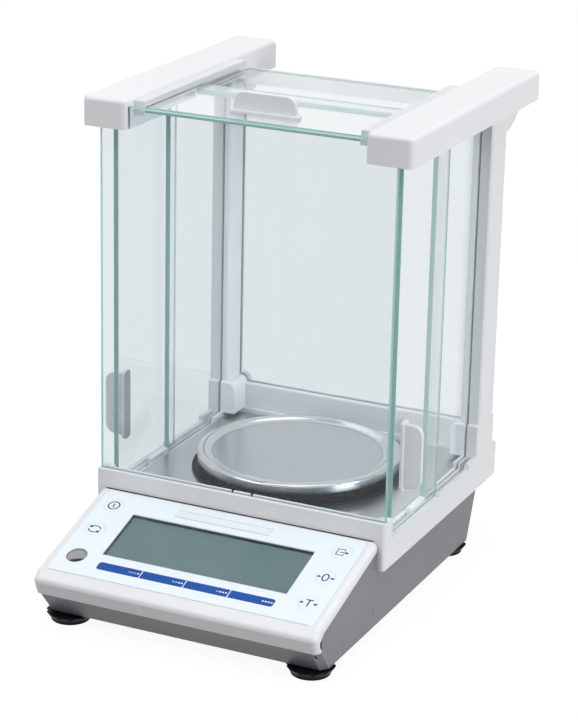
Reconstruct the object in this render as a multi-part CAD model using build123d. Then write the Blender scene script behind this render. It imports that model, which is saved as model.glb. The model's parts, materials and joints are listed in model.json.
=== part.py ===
from build123d import *
import math
import os

# Laboratory balance with a glass draft shield.
# Millimetres, +X to the user's right, +Y to the back, +Z up.
# The origin is on the table under the middle of the whole object.

# Shield tray, the white base frame of the draft shield
TRAY_WIDTH = 180.0
TRAY_DEPTH = 170.0
TRAY_BOTTOM = 39.0
DECK_TOP = 55.5
DECK_THICKNESS = 5.0
TRAY_WALL = 2.5
FRONT_RIM_TOP = 66.7
FRONT_RIM_DEPTH = 8.0
CORNER_BLOCK_DEPTH = 3.0
CORNER_BLOCK_WIDTH = 7.0
REAR_STEP_START = 125.0
REAR_STEP_HEIGHT = 3.5
LEDGE_STEP_START = 78.0
LEDGE_STEP_LENGTH = 6.0
LEDGE_STEP_WIDTH = 2.6
LEDGE_STEP_HEIGHT = 1.2
TRAY_CORNER_RADIUS = 2.0
TRAY_REAR_CHAMFER = 2.5
POST_HOLE_RADIUS = 11.0
RIM_TAB_WIDTH = 10.2
RIM_NOTCH_WIDTH = 1.8
RIM_NOTCH_DEPTH = 4.0

# Glass panes and their tracks
GLASS = 3.0
TRACK_WEB = 1.0
TRACK_DEPTH = 2.5
TRACK_PLAY = 0.2
FRONT_GLASS_SETBACK = 2.8
FRONT_GLASS_INSET = 1.3
FRONT_GROOVE_DEPTH = 5.0
FRONT_GLASS_RISE = 0.8
DOOR_INSET = 3.1
DOOR_FRONT = 15.5
DOOR_LENGTH = 66.5
REAR_PANE_FRONT = 69.5
REAR_PANE_GRIP = 3.5
PANE_TOP_GRIP = 3.5
DOOR_FOOT_GAP = 0.3
STOP_BLOCK_LENGTH = 20.5
STOP_BLOCK_RISE = 2.5

# Rear columns and the frame between them
COLUMN_WIDTH = 14.2
COLUMN_DEPTH = 22.0
COLUMN_FRONT = 139.0
COLUMN_CHAMFER = 1.0
REAR_GLASS_SETBACK = 16.5
REAR_GLASS_GRIP = 3.2
BOOT_HEIGHT = 20.0
BOOT_MARGIN = 2.0
BOOT_INNER_MARGIN = 5.5
BOOT_RADIUS = 4.5
TENON_LENGTH = 10.0
TENON_MARGIN = 2.5
FENCE_HEIGHT = 16.0
FENCE_DEPTH = 8.5
FENCE_RADIUS = 1.2
GUSSET_REACH = 24.0
GUSSET_HEIGHT = 15.5
GUSSET_TIP = 2.5

# Top rails with their covers, guides and end caps
RAIL_WIDTH = 27.4
RAIL_HEIGHT = 17.0
RAIL_LENGTH = 187.7
RAIL_BOTTOM = 267.0
RAIL_OVERHANG = 8.4
RAIL_WALL = 2.2
RAIL_SIDE_RADIUS = 3.4
RAIL_CROWN_RADIUS = 2.8
END_CAP = 1.5
GUIDE_PLAY = 0.15
GUIDE_GROOVE_DEPTH = 5.0
SIDE_GUIDE_HEIGHT = 9.0
TOP_GUIDE_FRONT = 9.5
TOP_GUIDE_LENGTH = 124.5
TOP_GUIDE_WIDTH = 6.5
TOP_GUIDE_LIP = 3.2
TOP_GUIDE_DROP = 1.4
TOP_GUIDE_END_WALL = 2.0
TOP_GRIP = 4.5
TOP_PANE_BELOW_RAIL_TOP = 5.3
TOP_DOOR_FRONT = 11.0
TOP_DOOR_LENGTH = 68.0
TOP_REAR_FRONT = 72.0
REAR_BAR_FRONT = 143.0
REAR_BAR_DEPTH = 18.0
REAR_BAR_HEIGHT = 11.0

# Door handles, one moulding used three times
HANDLE_LENGTH = 41.5
HANDLE_BASE_WIDTH = 7.5
HANDLE_BASE = 1.5
HANDLE_BASE_RADIUS = 2.4
HANDLE_FIN = 10.5
HANDLE_FIN_THICKNESS = 3.0
HANDLE_FIN_RADIUS = 6.0
HANDLE_TAPER = 1.0
SIDE_HANDLE_FROM_EDGE = 13.0
SIDE_HANDLE_RISE = 21.2
TOP_HANDLE_FROM_EDGE = 16.4

# Weighing pan, its carrier and the chamber floor
PAN_RADIUS = 59.0
PAN_TOP = 68.4
PAN_RIM_HEIGHT = 5.6
PAN_RIM_WIDTH = 9.0
PAN_DISH = 1.8
PAN_SHEET = 1.0
PAN_CENTRE = 80.6
FLOOR_SHEET = 1.0
FLOOR_MARGIN = 2.0
RING_INNER_RADIUS = 60.5
RING_WALL = 1.6
RING_HEIGHT = 1.6
RING_FLOOR = 0.6
CARRIER_RADIUS = 56.5
CARRIER_WALL = 2.0
CARRIER_PLATE = 2.0
CARRIER_FLOOR_GAP = 1.2
CARRIER_RIB = 0.8
CARRIER_RIB_WIDTH = 1.4
CARRIER_RIB_COUNT = 40
CARRIER_ARM_WIDTH = 3.5
CARRIER_ARM_COUNT = 6
CARRIER_PAD_RADIUS = 4.5
CARRIER_PAD_CIRCLE = 42.0
CARRIER_PAD_COUNT = 3
CARRIER_HUB_RADIUS = 8.0
POST_RADIUS = 4.5
POST_PLAY = 0.3
POST_SEAT_DEPTH = 3.0

# Grey lower case
CASE_BOTTOM = 5.5
CASE_WALL = 2.2
CASE_TOP_INSET = 3.9
CASE_DRAFT = 0.6
CASE_FRONT_SETBACK = 14.5
CASE_REAR_TOP = 150.0
CASE_REAR_BOTTOM = 138.0
CASE_CORNER = 3.5
CASE_PLAY = 0.3

# Sloping console cover
CONSOLE_REACH = 79.0
CONSOLE_SLOPE = 16.9
CONSOLE_WIDTH = 172.4
CONSOLE_REAR_TOP = 56.3
CONSOLE_GAP = 1.2
CONSOLE_PLATE = 2.5
CONSOLE_SKIRT = 5.0
CONSOLE_SIDE_WALL = 2.4
CONSOLE_SIDE_RADIUS = 3.4
CONSOLE_LIP_BOTTOM = 20.0
CONSOLE_LIP_SETBACK = 2.8
CONSOLE_NOSE_RADIUS = 4.0
CONSOLE_NOSE_DEPTH = 4.8
CONSOLE_NOSE_DROP = 2.6
CONSOLE_NOSE_FLAT = 2.2

# Key panel, measured down the slope from the tray
OVERLAY_WIDTH = 162.4
OVERLAY_LENGTH = 74.0
OVERLAY_START = 2.1
OVERLAY_SHEET = 0.6
OVERLAY_RADIUS = 2.5
LCD_WIDTH = 113.0
LCD_HEIGHT = 37.3
LCD_START = 18.4
LCD_WINDOW = 1.5
LCD_WINDOW_DROP = 0.6
LCD_LEDGE = 1.8
LCD_MODULE = 5.0
BOARD = 1.6
BOARD_MARGIN = 2.5
KEY_RADIUS = 5.5
KEY_PLAY = 0.15
KEY_WELL_PLAY = 0.5
KEY_STEM_RADIUS = 1.5
KEY_TRAVEL = 0.4
KEY_COLUMN = 71.0
KEY_ROW_REAR = 14.4
KEY_ROW_PITCH = 22.4
SWITCH_SIZE = 5.0
BUBBLE_RADIUS = 6.0
BUBBLE_X = -69.9
BUBBLE_DOWN = 60.6
VIAL_RADIUS = 7.0
VIAL_HEIGHT = 5.0
VIAL_GAP = 0.3
HOLDER_WALL = 1.3
HOLDER_PLAY = 0.1

# Levelling feet
FOOT_X = 74.0
FOOT_FRONT = -58.0
FOOT_REAR = 130.0
FOOT_TOP_RADIUS = 13.5
FOOT_BOTTOM_RADIUS = 11.5
FOOT_FLUTE_COUNT = 12
FOOT_FLUTE_RADIUS = 1.8
FOOT_GAP = 0.7
FOOT_PAD_RADIUS = 11.0
FOOT_PAD_HEIGHT = 2.0
FOOT_PIN_RADIUS = 2.5
FOOT_PIN_LENGTH = 2.0
STUD_RADIUS = 3.0
STUD_LENGTH = 16.0
RUNNING_PLAY = 0.05
BUSH_RADIUS = 5.0
BUSH_LENGTH = 12.0
BOSS_WALL = 1.5

# Inside the lower case
CHASSIS_WIDTH = 110.0
CHASSIS_LENGTH = 100.0
CHASSIS_THICKNESS = 4.5
CHASSIS_BACK = 10.0
STANDOFF_HEIGHT = 3.5
STANDOFF_RADIUS = 3.5
STANDOFF_INSET = 7.0
SENSOR_WIDTH = 30.0
SENSOR_LENGTH = 54.0
SENSOR_HEIGHT = 18.0
SENSOR_SLOT = 4.0
FORK_SLOT = 2.5
LEVER_WIDTH = 12.0
LEVER_THICKNESS = 4.5
LEVER_OVERLAP = 14.0
MAIN_BOARD_WIDTH = 100.0
MAIN_BOARD_LENGTH = 46.0
MAIN_BOARD_FRONT = -52.0
CHIP = 12.0
CHIP_HEIGHT = 2.5
PORT_X = 38.0
PORT_HEIGHT = 12.0
SERIAL_WIDTH = 31.0
SERIAL_DEPTH = 12.0
SERIAL_TONGUE_WIDTH = 17.0
SERIAL_TONGUE_HEIGHT = 8.0
SERIAL_TONGUE_REACH = 5.0
JACK_RADIUS = 5.5
JACK_BORE = 3.0
JACK_PIN = 1.0
JACK_DEPTH = 13.0
PORT_RISE = 12.0
SCREW_RADIUS = 1.5
SCREW_HEAD_RADIUS = 2.9
SCREW_HEAD = 2.2
SCREW_LENGTH = 10.0
SCREW_INSET = 11.0
SCREW_FRONT = 11.0
SCREW_REAR = 108.0
SIDE_PLATE_LENGTH = 40.0
SIDE_PLATE_HEIGHT = 9.5
SIDE_PLATE_FRONT = -42.5
SIDE_PLATE_THICKNESS = 1.0
SIDE_PLATE_RISE = 2.5

# Places that follow from the sizes
TRAY_FRONT = (CONSOLE_REACH - RAIL_LENGTH) / 2
TRAY_REAR = TRAY_FRONT + TRAY_DEPTH
HALF_TRAY = TRAY_WIDTH / 2
REAR_STEP_TOP = DECK_TOP + REAR_STEP_HEIGHT
DOOR_OUTER = HALF_TRAY - DOOR_INSET
DOOR_INNER = DOOR_OUTER - GLASS
PANE_OUTER = DOOR_INNER - TRACK_WEB
PANE_INNER = PANE_OUTER - GLASS
PANE_BOTTOM = DECK_TOP - TRACK_DEPTH
COLUMN_INNER = HALF_TRAY - COLUMN_WIDTH
COLUMN_Y0 = TRAY_FRONT + COLUMN_FRONT
COLUMN_Y1 = COLUMN_Y0 + COLUMN_DEPTH
REAR_GLASS_Y = COLUMN_Y0 + REAR_GLASS_SETBACK
RAIL_OUTER = HALF_TRAY + RAIL_OVERHANG
RAIL_INNER = RAIL_OUTER - RAIL_WIDTH
RAIL_TOP = RAIL_BOTTOM + RAIL_HEIGHT
RAIL_REAR = TRAY_FRONT + RAIL_LENGTH
TOP_DOOR_Z = RAIL_TOP - TOP_PANE_BELOW_RAIL_TOP
TOP_REAR_Z = TOP_DOOR_Z - GLASS - TRACK_WEB
TOP_PANE_HALF = RAIL_INNER - TOP_GUIDE_WIDTH + TOP_GRIP
PAN_Y = TRAY_FRONT + PAN_CENTRE
FLOOR_TOP = DECK_TOP + FLOOR_SHEET
PAN_UNDERSIDE = PAN_TOP - PAN_DISH - PAN_SHEET
CARRIER_BOTTOM = FLOOR_TOP + CARRIER_FLOOR_GAP
CARRIER_TOP = PAN_TOP - PAN_RIM_HEIGHT
POST_TOP = CARRIER_BOTTOM + POST_SEAT_DEPTH
CONSOLE_FRONT = TRAY_FRONT - CONSOLE_REACH
SLOPE = math.radians(CONSOLE_SLOPE)
PANEL_UP = Vector(0, -math.sin(SLOPE), math.cos(SLOPE))
PANEL = Plane(origin=(0, TRAY_FRONT, CONSOLE_REAR_TOP), x_dir=(1, 0, 0), z_dir=PANEL_UP)
CASE_FLOOR = CASE_BOTTOM + CASE_WALL
FOOT_TOP = CASE_BOTTOM - FOOT_GAP
CHASSIS_BOTTOM = CASE_FLOOR + STANDOFF_HEIGHT
CHASSIS_TOP = CHASSIS_BOTTOM + CHASSIS_THICKNESS
CHASSIS_Y0 = TRAY_FRONT + CHASSIS_BACK
SENSOR_TOP = CHASSIS_TOP + SENSOR_HEIGHT
LEVER_TOP = SENSOR_TOP + LEVER_THICKNESS
KEYS = {
    "power": (-KEY_COLUMN, 0),
    "menu": (-KEY_COLUMN, 1),
    "output": (KEY_COLUMN, 0),
    "zero": (KEY_COLUMN, 1),
    "tare": (KEY_COLUMN, 2),
}
FEET = {
    "front_left": (-FOOT_X, TRAY_FRONT + FOOT_FRONT),
    "front_right": (FOOT_X, TRAY_FRONT + FOOT_FRONT),
    "rear_left": (-FOOT_X, TRAY_FRONT + FOOT_REAR),
    "rear_right": (FOOT_X, TRAY_FRONT + FOOT_REAR),
}
SIDES = {"left": -1, "right": 1}
NEAR = 0.1


def block(x0, x1, y0, y1, z0, z1):
    """A box between two corners, in any order along X."""
    low, high = min(x0, x1), max(x0, x1)
    solid = Box(high - low, y1 - y0, z1 - z0, align=(Align.MIN, Align.MIN, Align.MIN))
    return Pos(low, y0, z0) * solid


def side_block(side, x0, x1, y0, y1, z0, z1):
    """A box given for the right side and mirrored when side is -1."""
    return block(side * x0, side * x1, y0, y1, z0, z1)


def rod(x, y, z0, z1, radius, top_radius=None):
    """An upright cylinder or cone."""
    height = z1 - z0
    align = (Align.CENTER, Align.CENTER, Align.MIN)
    if top_radius is None:
        return Pos(x, y, z0) * Cylinder(radius, height, align=align)
    return Pos(x, y, z0) * Cone(radius, top_radius, height, align=align)


def profile_along_x(points, half_width):
    """A flat outline in Y and Z, stretched over both sides of the middle."""
    face = make_face(Polyline([(0, y, z) for y, z in points], close=True))
    return extrude(face, amount=half_width, dir=(1, 0, 0), both=True)


def on_panel(x, down, solid, height=0.0):
    """Puts a solid on the key panel, down the slope from the tray."""
    return PANEL * Pos(x, -down, height) * solid


def panel_plate(width, length, thickness, x, start, top):
    """A plate under the panel surface; top is its height over that surface."""
    align = (Align.CENTER, Align.MAX, Align.MAX)
    return on_panel(x, start, Box(width, length, thickness, align=align), top)


def panel_rod(x, down, radius, top, depth):
    """A round solid square to the panel, from top down by depth."""
    align = (Align.CENTER, Align.CENTER, Align.MAX)
    return on_panel(x, down, Cylinder(radius, depth, align=align), top)


def panel_z(y):
    """Height of the panel surface at a place along Y."""
    return CONSOLE_REAR_TOP + (y - TRAY_FRONT) * math.tan(SLOPE)


def key_place(row):
    """Distance of a row of keys down the slope."""
    return KEY_ROW_REAR + row * KEY_ROW_PITCH


def case_shape(inset):
    """The outside of the lower case, or its inside when inset is the wall."""
    low = CASE_BOTTOM + inset
    lip = CONSOLE_LIP_BOTTOM - inset
    front_low = CONSOLE_FRONT + CASE_FRONT_SETBACK + inset
    front_lip = CONSOLE_FRONT + CONSOLE_LIP_SETBACK + inset
    front_step = CONSOLE_FRONT + CONSOLE_LIP_SETBACK + CONSOLE_SKIRT + CASE_PLAY + inset
    shoulder = CONSOLE_FRONT + CONSOLE_SKIRT + CONSOLE_NOSE_DEPTH + inset
    dip = 0 if inset else CONSOLE_NOSE_DROP
    cover_drop = CONSOLE_SKIRT / math.cos(SLOPE)
    joint_y = TRAY_FRONT - CONSOLE_GAP - CASE_PLAY - inset
    rise = TRAY_BOTTOM + inset
    points = [
        (front_low, low),
        (front_lip, lip),
        (front_step, lip),
        (front_step, panel_z(front_step) - cover_drop - dip),
        (shoulder, panel_z(shoulder) - cover_drop),
        (joint_y, panel_z(joint_y) - cover_drop),
        (joint_y, rise),
        (TRAY_FRONT + CASE_REAR_TOP - inset, rise),
        (TRAY_FRONT + CASE_REAR_BOTTOM - inset, low),
    ]
    half = HALF_TRAY - CASE_TOP_INSET - inset
    return profile_along_x(points, half) & draft_prism(half, low)


def draft_prism(half, low):
    """A tall prism whose sides lean in towards the bottom."""
    middle = (CONSOLE_FRONT + TRAY_REAR) / 2
    length = TRAY_REAR - CONSOLE_FRONT
    bottom = Pos(0, middle, low) * Rectangle(2 * (half - CASE_DRAFT), length)
    joint = Pos(0, middle, TRAY_BOTTOM) * Rectangle(2 * half, length)
    top = Pos(0, middle, CONSOLE_REAR_TOP) * Rectangle(2 * half, length)
    return loft([bottom, joint], ruled=True) + loft([joint, top], ruled=True)


def board_posts(x_half, y0, y1):
    """Centres of the four posts under a plate."""
    return [(sx * x_half, y) for sx in (-1, 1) for y in (y0, y1)]


def chassis_posts():
    """Posts that carry the chassis plate."""
    x_half = CHASSIS_WIDTH / 2 - STANDOFF_INSET
    return board_posts(x_half, CHASSIS_Y0 + STANDOFF_INSET, CHASSIS_Y0 + CHASSIS_LENGTH - STANDOFF_INSET)


def main_board_posts():
    """Posts that carry the main board."""
    x_half = MAIN_BOARD_WIDTH / 2 - STANDOFF_INSET
    y0 = TRAY_FRONT + MAIN_BOARD_FRONT
    return board_posts(x_half, y0 + STANDOFF_INSET, y0 + MAIN_BOARD_LENGTH - STANDOFF_INSET)


def rear_wall_y(z):
    """Outside of the case's leaning rear wall at a height."""
    share = (z - CASE_BOTTOM) / (TRAY_BOTTOM - CASE_BOTTOM)
    return TRAY_FRONT + CASE_REAR_BOTTOM + share * (CASE_REAR_TOP - CASE_REAR_BOTTOM)


def side_plate_x():
    """Outside of the case's leaning side wall at the middle of the side plate."""
    z = CASE_BOTTOM + SIDE_PLATE_RISE + SIDE_PLATE_HEIGHT / 2
    share = (z - CASE_BOTTOM) / (TRAY_BOTTOM - CASE_BOTTOM)
    return HALF_TRAY - CASE_TOP_INSET - CASE_DRAFT * (1 - share)


def screw_places():
    """Centres of the screws that hold the tray on the case."""
    x = HALF_TRAY - SCREW_INSET
    return [(sx * x, TRAY_FRONT + y) for sx in (-1, 1) for y in (SCREW_FRONT, SCREW_REAR)]


def port_pocket(x, half_width):
    """The opening in the rear wall for one connector."""
    z = CASE_BOTTOM + PORT_RISE
    half_height = PORT_HEIGHT / 2 + CASE_PLAY
    y = rear_wall_y(z)
    half = half_width + CASE_PLAY
    return block(x - half, x + half, y - SERIAL_DEPTH, y + SERIAL_DEPTH, z - half_height, z + half_height)


def lower_case():
    """Grey tub that carries everything."""
    shell = case_shape(0.0)
    low_front = CONSOLE_FRONT + CASE_FRONT_SETBACK
    corners = [e for e in shell.edges() if e.center().Y < low_front and e.center().Z < CONSOLE_LIP_BOTTOM
               and abs(e.center().X) > HALF_TRAY / 2]
    shell = chamfer(corners, CASE_CORNER)
    shell -= case_shape(CASE_WALL)
    for x, y in FEET.values():
        shell += rod(x, y, CASE_BOTTOM, CASE_BOTTOM + BUSH_LENGTH, BUSH_RADIUS + BOSS_WALL)
    for x, y in chassis_posts() + main_board_posts():
        shell += rod(x, y, CASE_FLOOR, CHASSIS_BOTTOM, STANDOFF_RADIUS)
    for x, y in screw_places():
        shell += rod(x, y, CASE_FLOOR, TRAY_BOTTOM, SCREW_HEAD_RADIUS + BOSS_WALL)
    for x, y in FEET.values():
        shell -= rod(x, y, CASE_BOTTOM, CASE_BOTTOM + BUSH_LENGTH, BUSH_RADIUS + RUNNING_PLAY)
    for x, y in screw_places():
        shell -= rod(x, y, CASE_BOTTOM, TRAY_BOTTOM - SCREW_HEAD, SCREW_HEAD_RADIUS + CASE_PLAY)
        shell -= rod(x, y, TRAY_BOTTOM - SCREW_HEAD, TRAY_BOTTOM, SCREW_RADIUS + CASE_PLAY)
    shell -= port_pocket(-PORT_X, SERIAL_WIDTH / 2)
    shell -= port_pocket(PORT_X, PORT_HEIGHT / 2)
    return shell - side_plate_block(CASE_PLAY / 2)


def side_plate_block(grow):
    """The blanking plate let into the right side wall, or its pocket."""
    face = side_plate_x()
    y0 = TRAY_FRONT + SIDE_PLATE_FRONT
    z0 = CASE_BOTTOM + SIDE_PLATE_RISE
    outside = HALF_TRAY if grow else face
    return block(face - SIDE_PLATE_THICKNESS - grow / 3, outside, y0 - grow, y0 + SIDE_PLATE_LENGTH + grow,
                 z0 - grow, z0 + SIDE_PLATE_HEIGHT + grow)


def console_points(inset):
    """Side outline of the console cover."""
    front = CONSOLE_FRONT + inset
    drop = inset / math.cos(SLOPE)
    rear = TRAY_FRONT - CONSOLE_GAP
    nose = front + CONSOLE_NOSE_DEPTH
    nose_low = panel_z(front) - drop - CONSOLE_NOSE_DROP
    return [
        (rear, panel_z(rear) - drop),
        (nose, panel_z(nose) - drop),
        (front, nose_low),
        (front, nose_low - CONSOLE_NOSE_FLAT),
        (front + CONSOLE_LIP_SETBACK, CONSOLE_LIP_BOTTOM),
        (rear, CONSOLE_LIP_BOTTOM),
    ]


def console_cover():
    """White sloping cover with the key panel."""
    half = CONSOLE_WIDTH / 2
    cover = profile_along_x(console_points(0.0), half)
    rear = TRAY_FRONT - CONSOLE_GAP
    nose_low = panel_z(CONSOLE_FRONT) - CONSOLE_NOSE_DROP - NEAR
    nose = [e for e in cover.edges().filter_by(Axis.X) if e.center().Z > nose_low
            and e.center().Y < rear - NEAR]
    cover = fillet(nose, CONSOLE_NOSE_RADIUS)
    rim = [e for e in cover.edges() if abs(e.center().X) > half - NEAR and e.center().Y < rear - NEAR
           and e.center().Z > CONSOLE_LIP_BOTTOM + NEAR]
    cover = fillet(rim, CONSOLE_SIDE_RADIUS)
    cover -= profile_along_x(console_points(CONSOLE_SKIRT), half + 1)
    cover -= profile_along_x(console_points(CONSOLE_PLATE), half - CONSOLE_SIDE_WALL)
    cover -= rounded_panel(OVERLAY_WIDTH + 2 * KEY_PLAY, OVERLAY_LENGTH + 2 * KEY_PLAY, OVERLAY_SHEET,
                           OVERLAY_START - KEY_PLAY)
    cover -= panel_plate(LCD_WIDTH, LCD_HEIGHT, 2 * CONSOLE_PLATE, 0, LCD_START, 0)
    cover -= panel_plate(LCD_WIDTH + 2 * LCD_LEDGE, LCD_HEIGHT + 2 * LCD_LEDGE, 2 * CONSOLE_PLATE, 0,
                         LCD_START - LCD_LEDGE, -LCD_WINDOW_DROP)
    well = OVERLAY_SHEET + KEY_TRAVEL + KEY_PLAY
    for x, row in KEYS.values():
        cover -= panel_rod(x, key_place(row), KEY_RADIUS + KEY_WELL_PLAY, 0, well)
        cover -= panel_rod(x, key_place(row), KEY_STEM_RADIUS + KEY_WELL_PLAY, 0, 2 * CONSOLE_PLATE)
    return cover - panel_rod(BUBBLE_X, BUBBLE_DOWN, BUBBLE_RADIUS, 0, 2 * CONSOLE_PLATE)


def rounded_panel(width, length, thickness, start):
    """A thin sheet with round corners, let into the panel surface."""
    sketch = Pos(0, -start - length / 2) * RectangleRounded(width, length, OVERLAY_RADIUS)
    return PANEL * extrude(sketch, amount=-thickness)


def membrane_overlay():
    """Printed sheet on the console, with its window and key holes."""
    sheet = rounded_panel(OVERLAY_WIDTH, OVERLAY_LENGTH, OVERLAY_SHEET, OVERLAY_START)
    sheet -= panel_plate(LCD_WIDTH, LCD_HEIGHT, CONSOLE_PLATE, 0, LCD_START, 0)
    for x, row in KEYS.values():
        sheet -= panel_rod(x, key_place(row), KEY_RADIUS + KEY_PLAY, 0, CONSOLE_PLATE)
    return sheet - panel_rod(BUBBLE_X, BUBBLE_DOWN, BUBBLE_RADIUS, 0, CONSOLE_PLATE)


def key(x, row):
    """A round key, flush in the sheet, with the stem that works its switch."""
    cap = panel_rod(x, key_place(row), KEY_RADIUS, 0, OVERLAY_SHEET)
    stem = CONSOLE_PLATE + KEY_PLAY
    return cap + panel_rod(x, key_place(row), KEY_STEM_RADIUS, -OVERLAY_SHEET / 2, stem - OVERLAY_SHEET / 2)


def lcd_window():
    """Clear pane under the sheet."""
    border = LCD_LEDGE - KEY_PLAY
    return panel_plate(LCD_WIDTH + 2 * border, LCD_HEIGHT + 2 * border, LCD_WINDOW, 0, LCD_START - border,
                       -LCD_WINDOW_DROP - KEY_PLAY / 2)


def module_top():
    """Height of the display module's face over the panel surface."""
    return -LCD_WINDOW_DROP - LCD_WINDOW - KEY_PLAY


def lcd_module():
    """Display glass in its frame, hung on the display board."""
    border = LCD_LEDGE - KEY_PLAY
    return panel_plate(LCD_WIDTH + 2 * border, LCD_HEIGHT + 2 * border, LCD_MODULE, 0, LCD_START - border,
                       module_top())


def display_board():
    """Circuit board behind the console, with a switch under each key."""
    top = module_top() - LCD_MODULE
    board = panel_plate(OVERLAY_WIDTH - 2 * BOARD_MARGIN, OVERLAY_LENGTH - 4 * BOARD_MARGIN, BOARD, 0,
                        OVERLAY_START + 2 * BOARD_MARGIN, top)
    x, y = vial_place()
    clear = holder_radius() + BOSS_WALL
    board -= rod(x, y, CASE_BOTTOM, CONSOLE_REAR_TOP, clear)
    board -= block(-CONSOLE_WIDTH / 2, x, CONSOLE_FRONT, y + clear, CASE_BOTTOM, CONSOLE_REAR_TOP)
    board -= block(-CONSOLE_WIDTH / 2, x + clear, CONSOLE_FRONT, y, CASE_BOTTOM, CONSOLE_REAR_TOP)
    reach = -(CONSOLE_PLATE + 2 * KEY_PLAY + KEY_TRAVEL) - top
    for x, row in KEYS.values():
        switch = Box(SWITCH_SIZE, SWITCH_SIZE, reach, align=(Align.CENTER, Align.CENTER, Align.MIN))
        board += on_panel(x, key_place(row), switch, top)
    post_reach = -CONSOLE_PLATE - top
    post_x = KEY_COLUMN - 2 * KEY_RADIUS + BOARD_MARGIN
    for x in (-post_x, post_x):
        for row in (0, 1):
            post = Cylinder(KEY_STEM_RADIUS, post_reach, align=(Align.CENTER, Align.CENTER, Align.MIN))
            board += on_panel(x, key_place(row), post, top)
    return board


def vial_place():
    """Centre of the spirit level, seen from above."""
    return BUBBLE_X, TRAY_FRONT - BUBBLE_DOWN * math.cos(SLOPE)


def vial_top():
    """Top of the spirit level, which stands upright under the sloping cover."""
    x, y = vial_place()
    return panel_z(y - VIAL_RADIUS) - CONSOLE_PLATE / math.cos(SLOPE) - VIAL_GAP


def holder_radius():
    """Outside of the cup round the spirit level."""
    return VIAL_RADIUS + HOLDER_PLAY + HOLDER_WALL


def bubble_vial():
    """Round spirit level."""
    x, y = vial_place()
    return rod(x, y, vial_top() - VIAL_HEIGHT, vial_top(), VIAL_RADIUS)


def vial_holder():
    """Cup that holds the spirit level against the cover."""
    x, y = vial_place()
    floor = vial_top() - VIAL_HEIGHT
    cup = rod(x, y, floor - HOLDER_WALL, CONSOLE_REAR_TOP, holder_radius())
    cup -= rod(x, y, floor, CONSOLE_REAR_TOP, VIAL_RADIUS + HOLDER_PLAY)
    reach = 2 * CONSOLE_REACH
    above = Box(reach, reach, reach, align=(Align.CENTER, Align.CENTER, Align.MIN))
    above = on_panel(0, 0, above, -CONSOLE_PLATE)
    return cup - above


def tray_body():
    """Outside of the tray: front rim, side ledges and raised back."""
    rim = TRAY_FRONT + FRONT_RIM_DEPTH
    step = TRAY_FRONT + REAR_STEP_START
    points = [
        (TRAY_FRONT, TRAY_BOTTOM),
        (TRAY_FRONT, FRONT_RIM_TOP),
        (rim, FRONT_RIM_TOP),
        (rim, DECK_TOP),
        (step, DECK_TOP),
        (step, REAR_STEP_TOP),
        (TRAY_REAR, REAR_STEP_TOP),
        (TRAY_REAR, TRAY_BOTTOM + TRAY_REAR_CHAMFER),
        (TRAY_REAR - TRAY_REAR_CHAMFER, TRAY_BOTTOM),
    ]
    body = profile_along_x(points, HALF_TRAY)
    for side in SIDES.values():
        body += side_block(side, HALF_TRAY - CORNER_BLOCK_WIDTH, HALF_TRAY, rim, rim + CORNER_BLOCK_DEPTH,
                           DECK_TOP, FRONT_RIM_TOP)
        bit = TRAY_FRONT + LEDGE_STEP_START
        body += side_block(side, HALF_TRAY - LEDGE_STEP_WIDTH, HALF_TRAY, bit, bit + LEDGE_STEP_LENGTH,
                           DECK_TOP, DECK_TOP + LEDGE_STEP_HEIGHT)
    uprights = [e for e in body.edges().filter_by(Axis.Z) if abs(abs(e.center().X) - HALF_TRAY) < NEAR
                and (e.center().Y < TRAY_FRONT + 1 or e.center().Y > TRAY_REAR - 1)]
    return fillet(uprights, TRAY_CORNER_RADIUS)


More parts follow.
